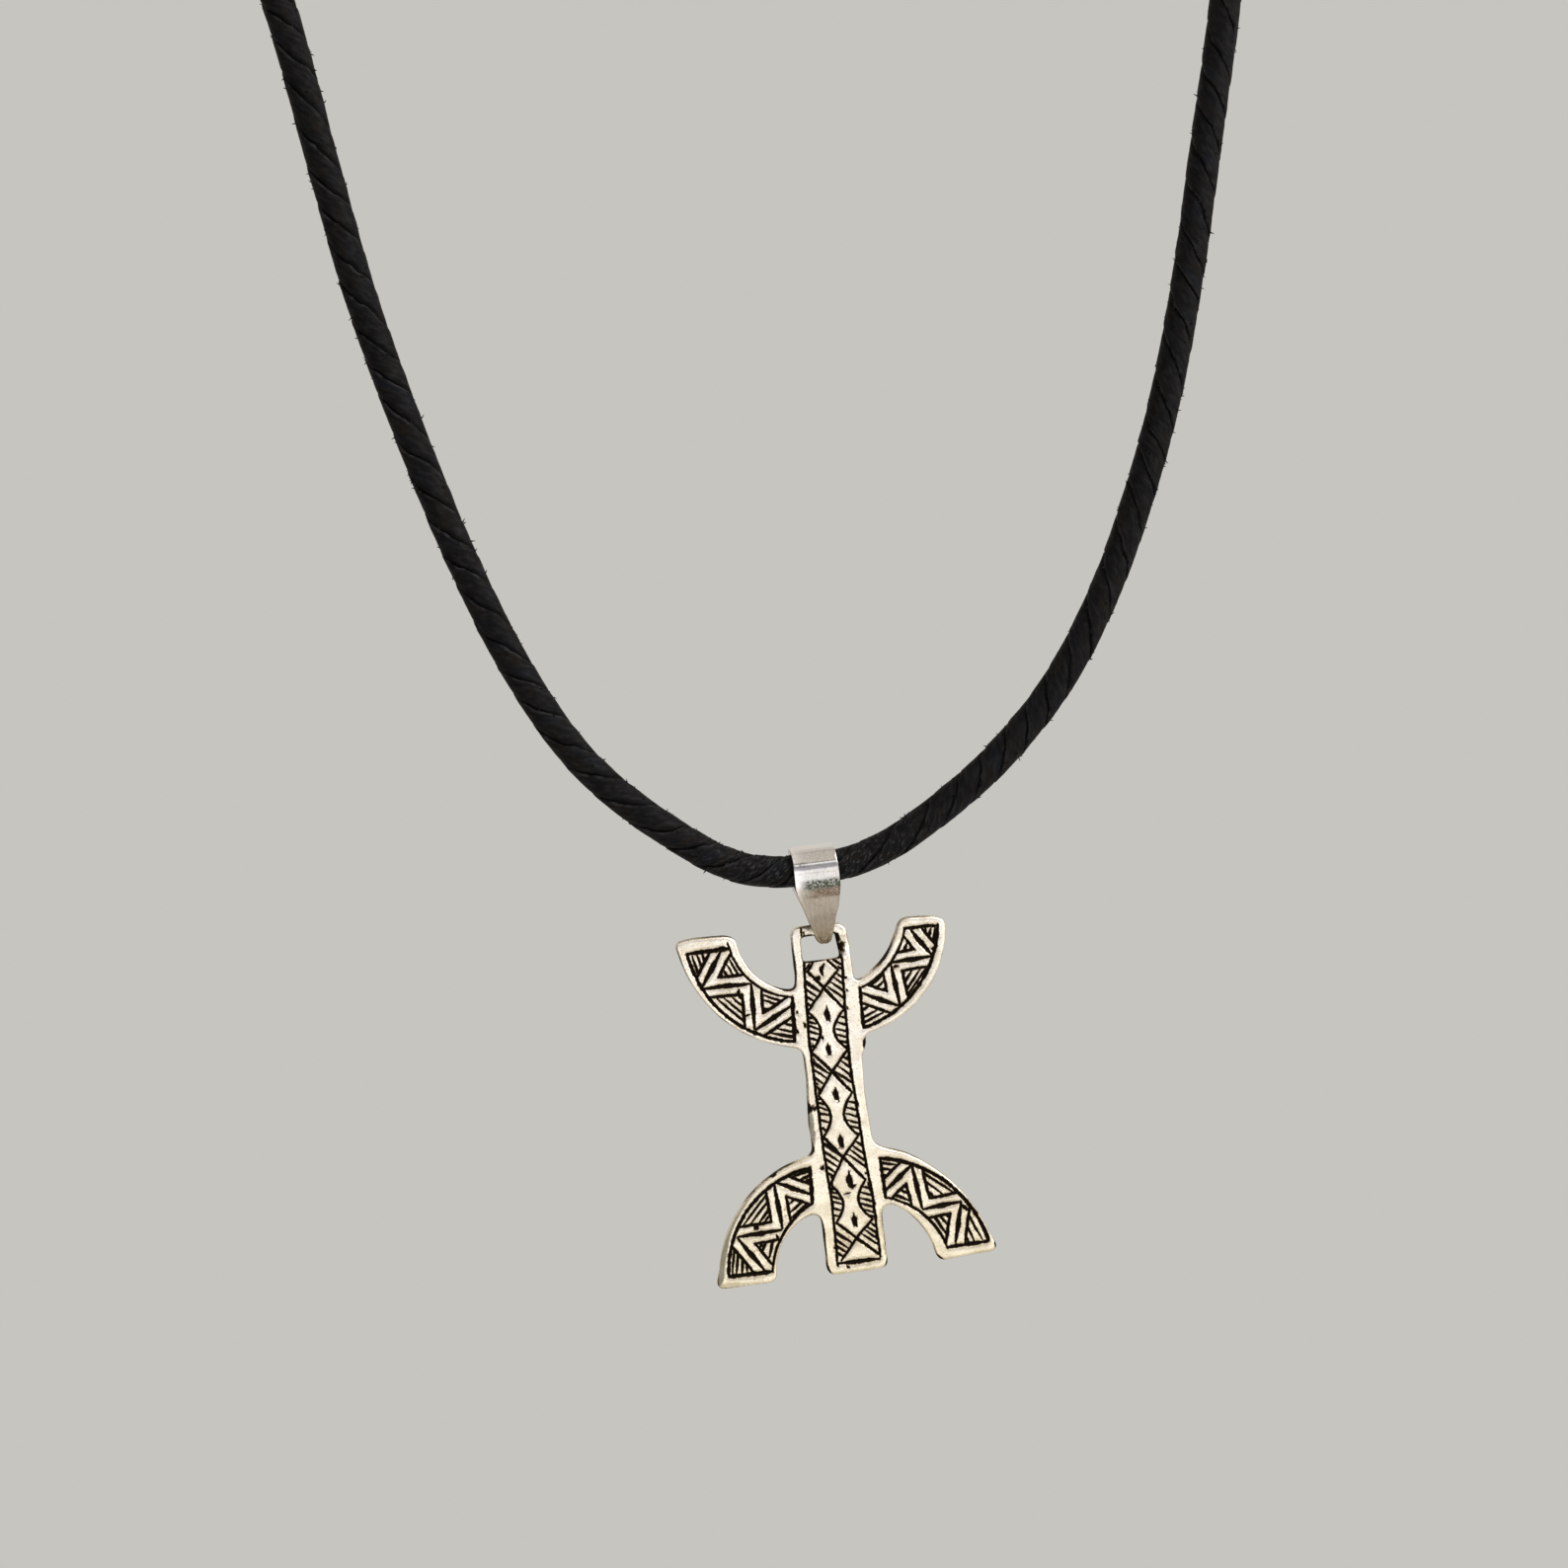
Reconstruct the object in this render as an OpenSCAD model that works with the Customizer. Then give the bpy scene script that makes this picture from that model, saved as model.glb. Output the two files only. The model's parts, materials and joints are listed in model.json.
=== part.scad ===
// Necklace: a silver plate with a tall stem and four crescent arms hangs by
// a folded bail from a loop of wound leather cord, closed at the nape by a
// plain barrel clasp. Origin: underside of the clasp at the nape. +Z is up,
// the engraved front of the pendant faces -Y.

/* [Cord] */
// Diameter of the wound leather cord
cord_d = 3; // [2.8:0.1:3.1]

/* [Clasp] */
// Length of the barrel
clasp_len = 12; // [10:0.5:16]
// Outer diameter of the barrel
clasp_d = 4; // [3.8:0.1:5]
// Depth of the bore that takes a cord end
clasp_bore_depth = 2.5; // [2:0.1:3]

/* [Bail] */
// Thickness of the folded silver sheet
bail_sheet = 0.4; // [0.3:0.05:0.45]
// Inside radius of the wide end, round the cord
bail_cord_r = 1.8; // [1.7:0.05:2]
// Inside radius of the narrow end, round the bar of the pendant
bail_bar_r = 0.8; // [0.75:0.05:0.9]
// Distance from the cord's centre to the bar's centre
bail_drop = 6.05; // [5.5:0.05:7]

/* [Pendant] */
// Thickness of the silver plate
plate_t = 1.1; // [0.9:0.1:1.2]
// Depth of the engraved lines
groove_depth = 0.2; // [0.1:0.05:0.3]
// Width of the engraved lines
groove_w = 0.3; // [0.2:0.05:0.4]
// Width of the zigzag band on each arm, between its two edge lines
band_w = 1.5; // [1.2:0.1:1.8]
// Rounding of the outer corners
corner_r = 0.4; // [0.2:0.1:0.6]
// Fillet where an arm leaves the stem
fillet_r = 0.8; // [0.4:0.1:1.2]
// Chamfer on the long edges of the bar that the bail holds
bar_chamfer = 0.22; // [0.15:0.01:0.25]

/* [Hidden] */

$fn = 48;
// Reach of a cutting shape past the face that it cuts
cut = 1;
// Half the width of the narrowest slit between two engraved lines
slit = 0.04;

// Route of the cord's centre, [x, z], from the clasp's left end down and
// round to its right end. The loop hangs in the plane y = 0.
ROUTE = [
    [-3.5, 2], [-8, 2], [-16, 1], [-27.5, -4], [-37.5, -12.5],
    [-44.5, -24.5], [-47.75, -38.5], [-48, -53], [-46, -67.5], [-43, -80.5],
    [-40.5, -91.5], [-38.5, -105], [-36.5, -117.5], [-33.5, -130.5], [-30, -143],
    [-25.75, -154.5], [-20.6, -163.65], [-13.75, -170.6], [-7, -175.15], [0, -176.15],
    [6.5, -175.1], [13, -171.8], [19.5, -167.25], [26, -160.75], [31.5, -152.5],
    [36, -143.25], [39.75, -133.5], [43, -122.5], [46, -110.5], [49, -98.5],
    [52.25, -83.5], [54.5, -68], [55.25, -52.5], [53.5, -37.5], [48.25, -23.5],
    [39.5, -12], [28.5, -4], [16.5, 1], [8, 2], [3.5, 2]
];
CORD_SIDES = 8;

// Heights of the two axes on which the bail and the pendant swing
clasp_z = clasp_d / 2;
bail_z = -176;
hinge_z = bail_z - bail_drop;

// Outline of the bail from the front: [height above the cord's centre, half width]
BAIL_TAPER = [
    [2.4, 2.25], [-1.8, 2.25], [-2, 2.05], [-3.3, 1.6], [-5.3, 1.15], [-6.4, 0.92],
    [-7, 0.74], [-7.3, 0.55], [-7.48, 0.3]
];
// Solder bead that closes the tongue under the bar
solder_r = 0.45;
solder_drop = 1;

// From here on, [x, z] in the plate's plane, with z = 0 on the bar's centre.
// Stem: left and right edges at the top and at the bottom
STEM = [[-2.95, 0.5], [2.6, 0.5], [2.95, -33.62], [-3.05, -33.62]];
stem_mid = -16.5;
// Hole for the bail: [left, right, bottom, top]
HOLE = [-2.1, 1.65, -2.95, -0.5];
bar_h = 1;

// Each arm is a crescent between two circles. Columns: outer circle [x, z, r],
// inner circle [x, z, r], inner and outer end of the tip, inner and outer end
// of the root at the stem.
ARMS = [
    [[-1.06, 1.78, 13.15], [-2.12, 0.5, 6.2], [-8.6, 0.55], [-13.97, 0.75], [0, -4], [0, -14]],
    [[1.93, -0.39, 10.25], [0.16, 1.65, 7.6], [7.6, 0.22], [11.9, -0.08], [0, -4], [0, -14]],
    [[-1.72, -33.55, 11.9], [-2.36, -32.81, 5.65], [-8.2, -33.5], [-13.5, -33.5], [0, -29], [0, -20]],
    [[-2, -36.56, 15.98], [-0.04, -34.27, 7.92], [8.2, -33.7], [13.5, -33.4], [0, -29], [0, -20]]
];
// The border line of the engraved panel on each arm, in the same columns
PANELS = [
    [[-1.79, 0.83, 11.46], [-2.44, 0.5, 6.71], [-9.26, -0.7], [-13.06, -0.7],
        [-3.54, -6.2], [-3.75, -10.5]],
    [[0.92, 0.32, 10.52], [0.82, 1.1, 7.56], [8.4, -0.95], [11.35, -0.95],
        [3.13, -6.1], [3.04, -9.9]],
    [[-2.74, -32.75, 9.94], [-0.55, -33.61, 7.95], [-8.9, -32.35], [-12.6, -32.35],
        [-3.79, -26.4], [-3.68, -22.9]],
    [[0.85, -35.05, 12.45], [0.96, -34.57, 8.19], [9, -32.4], [12.95, -32.4],
        [3.44, -26.5], [3.26, -22.8]]
];
// Middle of the zigzag band on each arm, from the stem to the tip
ZIGZAGS = [
    [[-3.8, -6.98], [-7.23, -8.97], [-7.37, -4.31], [-12.05, -4.26], [-9.73, -0.8]],
    [[3.3, -6.57], [6.78, -8.44], [6.41, -4.17], [10.41, -3.95], [8.55, -1.05]],
    [[-3.88, -25.62], [-7.25, -23.93], [-6.94, -28.61], [-11.4, -28.71], [-8.88, -32.42]],
    [[3.52, -26.18], [6.31, -23.97], [6.92, -28.53], [10.93, -27.99], [9.61, -32.17]]
];
// Border line down the stem: left side, bottom, right side
STEM_FRAME = [
    [-2.15, -3.3], [-2.35, -10.5], [-2.1, -16], [-2.1, -32.1],
    [2.13, -32.5], [1.97, -25.4], [1.6, -14], [1.6, -3.3]
];
// Points where the chain of lozenges crosses itself, top to bottom
CROSSINGS = [[-0.28, -5.64], [-0.38, -13.9], [-0.29, -22.5], [0.02, -30.4]];
// Below each crossing: distance to the widest points, and half widths
widest_upper = 2;
widest_lower = 6.1;
half_widest = 1.65;
half_waist = 0.66;
half_end = 1.7;
// Punched drops: distance below the upper crossing, above the lower one
drop_upper = 2.4;
drop_lower = 2.1;

// Route with one point added midway along each span of the curve
route_last = len(ROUTE) - 1;
function route_at(i) =
    i < 0 ? 2 * ROUTE[0] - ROUTE[1] :
    i > route_last ? 2 * ROUTE[route_last] - ROUTE[route_last - 1] : ROUTE[i];
function midway(i) =
    (9 * (route_at(i) + route_at(i + 1)) - route_at(i - 1) - route_at(i + 2)) / 16;
LINE = [
    for (k = [0 : 2 * route_last]) k % 2 == 0 ? ROUTE[k / 2] : midway((k - 1) / 2)
];
line_last = len(LINE) - 1;

function unit(v) = v / norm(v);
// Direction of the line at ring k: level where the cord enters the clasp
function heading(k) =
    k == 0 || k == line_last ? [-1, 0] : unit(LINE[k + 1] - LINE[k - 1]);
function ring(k) =
    let (h = heading(k), across = [-h[1], h[0]])
    [
        for (s = [0 : CORD_SIDES - 1])
            let (a = 360 * s / CORD_SIDES, p = LINE[k] + cord_d / 2 * cos(a) * across)
            [p[0], cord_d / 2 * sin(a), p[1]]
    ];

// One tube swept along the line, closed by a flat face in each end of the clasp
module leather_cord() {
    n = CORD_SIDES;
    points = [for (k = [0 : line_last]) each ring(k)];
    sides = [
        for (k = [0 : line_last - 1], s = [0 : n - 1])
            let (a = k * n + s, b = k * n + (s + 1) % n)
            each [[a, b, b + n], [a, b + n, a + n]]
    ];
    first = [[for (s = [n - 1 : -1 : 0]) s]];
    last = [[for (s = [0 : n - 1]) line_last * n + s]];
    color("#1c1b1d") polyhedron(points, concat(sides, first, last));
}

// Plain turned barrel, its rims broken, with a blind bore for each cord end
module clasp() {
    rim = 0.4;
    bore_r = cord_d / 2 + 0.15;
    half = clasp_len / 2;
    r = clasp_d / 2;
    color("#cfc9bd") translate([0, 0, clasp_z]) rotate([0, 90, 0]) difference() {
        rotate_extrude() polygon([
            [0, -half], [r - rim / 2, -half], [r, rim - half],
            [r, half - rim], [r - rim / 2, half], [0, half]
        ]);
        for (side = [-1, 1])
            translate([0, 0, side * (half - clasp_bore_depth / 2 + cut / 2)])
                cylinder(r = bore_r, h = clasp_bore_depth + cut, center = true);
    }
}

// Outline of a loop drawn tight round two circles, the lower one d below
module loop_outline(r_top, r_low, d) {
    hull() {
        circle(r = r_top);
        translate([0, -d]) circle(r = r_low);
    }
}

// Strip of sheet folded over the cord and through the plate, soldered at its tip
module bail() {
    color("#d6cfc2") translate([0, 0, bail_z]) intersection() {
        rotate([90, 0, 90]) linear_extrude(6, center = true) difference() {
            union() {
                loop_outline(bail_cord_r + bail_sheet, bail_bar_r + bail_sheet, bail_drop);
                translate([0, -bail_drop - solder_drop]) circle(r = solder_r);
            }
            loop_outline(bail_cord_r, bail_bar_r, bail_drop);
        }
        rotate([90, 0, 0]) linear_extrude(6, center = true) polygon(concat(
            [for (p = BAIL_TAPER) [-p[1], p[0]]],
            [for (i = [len(BAIL_TAPER) - 1 : -1 : 0]) [BAIL_TAPER[i][1], BAIL_TAPER[i][0]]]
        ));
    }
}

// Crescent between two circles, cut straight at its tip and at its root
module crescent(row) {
    outer = row[0];
    inner = row[1];
    tip_in = row[2];
    tip_out = row[3];
    root_in = row[4];
    root_out = row[5];
    far = 20 * sign(tip_out[0]);
    intersection() {
        difference() {
            translate([outer[0], outer[1]]) circle(r = outer[2], $fn = 72);
            translate([inner[0], inner[1]]) circle(r = inner[2], $fn = 56);
        }
        polygon([
            tip_in, tip_out, [far, tip_out[1]], [far, stem_mid],
            [root_out[0], stem_mid], root_out, root_in
        ]);
    }
}

// Plate from the front, its corners rounded and its arms blended into the stem
module plate_outline() {
    offset(r = -fillet_r) offset(delta = fillet_r)
        offset(r = corner_r) offset(delta = -corner_r)
            union() {
                polygon(STEM);
                for (row = ARMS) crescent(row);
            }
}

// Line of the graver through a row of points
module line(points, w = groove_w) {
    for (i = [0 : len(points) - 2]) {
        a = points[i];
        b = points[i + 1];
        along = unit(b - a);
        side = w / 2 * [-along[1], along[0]];
        polygon([a + side, a - side, b - side, b + side]);
    }
    for (p = points) translate(p) circle(d = w, $fn = 8);
}

// Outline of a shape, as a line of the graver
module outlined() {
    difference() {
        offset(delta = groove_w / 2) children();
        offset(delta = -groove_w / 2) children();
    }
}

// Zigzag band across the panel of one arm
module band(points) {
    offset(delta = band_w / 2 - 0.01) line(points, 0.02);
}

// Lines on one arm: the triangles that the zigzag band leaves, and its middle line
module arm_lines(panel, zigzag) {
    outlined() difference() {
        crescent(panel);
        band(zigzag);
    }
    intersection() {
        crescent(panel);
        line(zigzag);
    }
}

// One side of a lozenge: from the crossing above out to the widest point,
// hollow down to the lower widest point, and in to the crossing below
function lozenge_side(above, below, side) = concat(
    [above],
    [
        for (t = [0 : 0.2 : 1])
            let (half = half_widest - (half_widest - half_waist) * sin(180 * t))
            [
                (above[0] + below[0]) / 2 + side * half,
                above[1] - widest_upper - t * (widest_lower - widest_upper)
            ]
    ],
    [below]
);

module punched_drop(at) {
    translate(at) scale([0.55, 1]) circle(r = 0.5, $fn = 10);
}

// Lines down the stem
module stem_lines() {
    line(STEM_FRAME);
    line([[-1.73, -3.97], CROSSINGS[0], [1.23, -4.06]]);
    for (i = [0 : len(CROSSINGS) - 2], side = [-1, 1])
        line(lozenge_side(CROSSINGS[i], CROSSINGS[i + 1], side));
    for (i = [0 : len(CROSSINGS) - 2]) {
        punched_drop(CROSSINGS[i] - [0, drop_upper]);
        punched_drop(CROSSINGS[i + 1] + [0, drop_lower]);
    }
    line([[-half_end, -32.1], CROSSINGS[3], [half_end, -32.3]]);
}

// All engraved lines, with slits too fine for the graver closed
module engraving() {
    offset(delta = -slit) offset(delta = slit) {
        for (i = [0 : len(ARMS) - 1]) arm_lines(PANELS[i], ZIGZAGS[i]);
        stem_lines();
    }
}

// Broken edges of the bar under the bail, as four long wedges to cut away
module bar_edges() {
    width = HOLE[1] - HOLE[0];
    for (up = [-1, 1], out = [-1, 1])
        translate([(HOLE[0] + HOLE[1]) / 2, out * plate_t / 2, up * bar_h / 2])
            rotate([45, 0, 0])
                cube([width, bar_chamfer * sqrt(2), bar_chamfer * sqrt(2)], center = true);
}

// Cast plate: stem and four crescent arms, pierced for the bail, engraved in front
module yaz_pendant() {
    color("#d9d3c6") translate([0, 0, hinge_z]) difference() {
        rotate([90, 0, 0]) linear_extrude(plate_t, center = true) difference() {
            plate_outline();
            translate([HOLE[0], HOLE[2]]) square([HOLE[1] - HOLE[0], HOLE[3] - HOLE[2]]);
        }
        bar_edges();
        rotate([90, 0, 0]) translate([0, 0, plate_t / 2 - groove_depth])
            linear_extrude(groove_depth + cut) engraving();
    }
}

leather_cord();
clasp();
bail();
yaz_pendant();
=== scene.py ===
"""Necklace: a silver yaz plate hung by a folded bail from a loop of wound leather lace."""

import json
import math
import random

import bmesh
import bpy
import numpy as np
from mathutils import Matrix, Vector, noise
from mathutils.geometry import delaunay_2d_cdt, intersect_line_line_2d


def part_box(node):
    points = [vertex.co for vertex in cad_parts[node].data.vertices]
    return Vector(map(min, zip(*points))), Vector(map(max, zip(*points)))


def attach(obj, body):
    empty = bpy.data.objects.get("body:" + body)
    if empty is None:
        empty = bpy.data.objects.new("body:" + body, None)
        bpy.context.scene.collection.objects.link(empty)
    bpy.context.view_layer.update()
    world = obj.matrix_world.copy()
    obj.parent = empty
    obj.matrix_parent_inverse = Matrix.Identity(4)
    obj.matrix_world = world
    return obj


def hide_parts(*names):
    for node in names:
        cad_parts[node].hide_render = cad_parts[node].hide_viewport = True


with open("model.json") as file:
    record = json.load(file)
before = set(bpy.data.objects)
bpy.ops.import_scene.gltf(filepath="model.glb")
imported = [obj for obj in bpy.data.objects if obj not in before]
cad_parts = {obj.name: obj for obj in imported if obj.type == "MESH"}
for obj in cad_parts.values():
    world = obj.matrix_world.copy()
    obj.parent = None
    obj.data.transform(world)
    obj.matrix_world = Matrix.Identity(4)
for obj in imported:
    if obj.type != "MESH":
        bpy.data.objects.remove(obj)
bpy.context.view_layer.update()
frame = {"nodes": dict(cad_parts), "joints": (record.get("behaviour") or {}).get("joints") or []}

# Camera
# A hand-held close-up from about 0.3 m, a little to the left of the pendant and above it,
# with the picture tilted. The cord passes through the bail at the pixel given here.
MM = 0.001
photo_side = 1588
bail_pixel = (828, 878)
focal_length_px = 3150
film_width_mm = 36
camera_azimuth = math.radians(-7)
camera_elevation = math.radians(4)
camera_roll = math.radians(6.4)
camera_distance = 300 * MM
aim = Vector((0.4, 0, -176)) * MM

back = Vector((
    math.sin(camera_azimuth) * math.cos(camera_elevation),
    -math.cos(camera_azimuth) * math.cos(camera_elevation),
    math.sin(camera_elevation),
))
level_right = (-back).cross(Vector((0, 0, 1))).normalized()
level_up = back.cross(level_right)
right = math.cos(camera_roll) * level_right - math.sin(camera_roll) * level_up
up = back.cross(right)
aside = (bail_pixel[0] - photo_side / 2) / focal_length_px
below = (bail_pixel[1] - photo_side / 2) / focal_length_px

camera = bpy.data.objects.new("camera", bpy.data.cameras.new("camera"))
camera.data.sensor_width = film_width_mm
camera.data.lens = film_width_mm * focal_length_px / photo_side
camera.data.clip_start = 10 * MM
camera.location = aim - (right * aside - up * below - back) * camera_distance
camera.rotation_euler = Matrix((right, up, back)).transposed().to_euler()
bpy.context.scene.collection.objects.link(camera)
bpy.context.scene.camera = camera


# Wound leather cord
# A round lace 3 mm thick: three thin strips of black dyed leather, wound left-handed round
# a core and glued, each lapped over the next. Both ends are glued into the clasp.
cord_diameter = 3 * MM
strips = 3
points_per_strip = 13
winding_pitch = 11.4 * MM
lap_height = 0.22 * MM
ring_step = 0.34 * MM
fibre_length = 0.4 * MM
fibres_per_m2 = 3.0e6
# A loose fibre bends aside by this times the square of its height, in metres
fibre_curl = 900.0
# How far from the bail's middle the loose fibres are rubbed off
rubbed_reach = 2.8 * MM

# The cord's route in the plane y = 0, in millimetres: [x, z] from the clasp's left end
# down to the bail and round to the clasp's right end
ROUTE = [
    [-3.5, 2], [-8, 2], [-16, 1], [-27.5, -4], [-37.5, -12.5],
    [-44.5, -24.5], [-47.75, -38.5], [-48, -53], [-46, -67.5], [-43, -80.5],
    [-40.5, -91.5], [-38.5, -105], [-36.5, -117.5], [-33.5, -130.5], [-30, -143],
    [-25.75, -154.5], [-20.6, -163.65], [-13.75, -170.6], [-7, -175.15], [0, -176.15],
    [6.5, -175.1], [13, -171.8], [19.5, -167.25], [26, -160.75], [31.5, -152.5],
    [36, -143.25], [39.75, -133.5], [43, -122.5], [46, -110.5], [49, -98.5],
    [52.25, -83.5], [54.5, -68], [55.25, -52.5], [53.5, -37.5], [48.25, -23.5],
    [39.5, -12], [28.5, -4], [16.5, 1], [8, 2], [3.5, 2],
]
steps_per_span = 12


def smooth_curve(points, steps):
    """A curve through the points with no corner in it, in so many steps from each to the next."""
    before_first, after_last = 2 * points[0] - points[1], 2 * points[-1] - points[-2]
    held = [before_first] + points + [after_last]
    curve = []
    for a, b, c, d in zip(held, held[1:], held[2:], held[3:]):
        for k in range(steps):
            t = k / steps
            curve.append(
                (2 * b + (c - a) * t + (2 * a - 5 * b + 4 * c - d) * t**2
                 + (3 * b - a - 3 * c + d) * t**3) / 2
            )
    return curve + [points[-1]]


cord_line = smooth_curve([Vector((x, 0, z)) * MM for x, z in ROUTE], steps_per_span)
cord_length = sum((b - a).length for a, b in zip(cord_line, cord_line[1:]))
# The bail hangs at the route's lowest point
at_bail = min(range(len(ROUTE)), key=lambda k: ROUTE[k][1]) * steps_per_span
bail_station = sum((b - a).length for a, b in zip(cord_line[:at_bail], cord_line[1:]))


def mesh_piece(name, points, faces, edges=()):
    """A new object of this mesh, shaded smooth."""
    mesh = bpy.data.meshes.new(name)
    mesh.from_pydata(points, edges, faces)
    mesh.update()
    mesh.shade_smooth()
    piece = bpy.data.objects.new(name, mesh)
    bpy.context.scene.collection.objects.link(piece)
    return piece


def add(tree, kind, sockets=None, **settings):
    """Adds a node. sockets gives each named or numbered socket its value, or what it is linked to."""
    made = tree.nodes.new(kind)
    for name, value in settings.items():
        setattr(made, name, value)
    for key, value in (sockets or {}).items():
        if isinstance(key, int):
            socket = made.inputs[key]
        else:
            socket = next(s for s in made.inputs if s.name == key and s.enabled)
        if isinstance(value, bpy.types.Node):
            value = next(s for s in value.outputs if s.enabled)
        if isinstance(value, bpy.types.NodeSocket):
            tree.links.new(value, socket)
        else:
            socket.default_value = value
    return made


def start_tree(name, inputs):
    """An empty Geometry Nodes tree with these named inputs, and its input and output nodes."""
    tree = bpy.data.node_groups.new(name, "GeometryNodeTree")
    tree.interface.new_socket("Geometry", in_out="INPUT", socket_type="NodeSocketGeometry")
    for label, kind in inputs.items():
        tree.interface.new_socket(label, in_out="INPUT", socket_type=kind)
    tree.interface.new_socket("Geometry", in_out="OUTPUT", socket_type="NodeSocketGeometry")
    return tree, tree.nodes.new("NodeGroupInput"), tree.nodes.new("NodeGroupOutput")


def grow(start, tree, values, name):
    """Runs the tree on an object and makes the result a plain mesh, in place of that object."""
    modifier = start.modifiers.new(tree.name, "NODES")
    modifier.node_group = tree
    for socket in tree.interface.items_tree:
        if socket.name in values and socket.in_out == "INPUT":
            modifier[socket.identifier] = values[socket.name]
    seen = start.evaluated_get(bpy.context.evaluated_depsgraph_get())
    mesh = bpy.data.meshes.new_from_object(seen)
    start.modifiers.remove(modifier)
    bpy.data.objects.remove(start)
    mesh.name = name
    piece = bpy.data.objects.new(name, mesh)
    bpy.context.scene.collection.objects.link(piece)
    return piece


def rough_surface(tree, geometry, size, height, seed, share=1.0):
    """Pushes the surface in and out along its normals, in bumps of this size and height. share
    is how much of that height each place gets."""
    place = add(tree, "GeometryNodeInputPosition")
    spread = add(tree, "ShaderNodeVectorMath", {0: place, 1: (seed, seed, seed)})
    bumps = add(tree, "ShaderNodeTexNoise", {"Vector": spread, "Scale": 1 / size, "Detail": 1.0})
    swing = add(
        tree, "ShaderNodeMapRange", {"Value": bumps, "To Min": -height, "To Max": height}
    )
    swing = add(tree, "ShaderNodeMath", {0: swing, 1: share}, operation="MULTIPLY")
    out = add(
        tree, "ShaderNodeVectorMath",
        {0: add(tree, "GeometryNodeInputNormal"), "Scale": swing}, operation="SCALE",
    )
    return add(tree, "GeometryNodeSetPosition", {"Geometry": geometry, "Offset": out})


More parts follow.
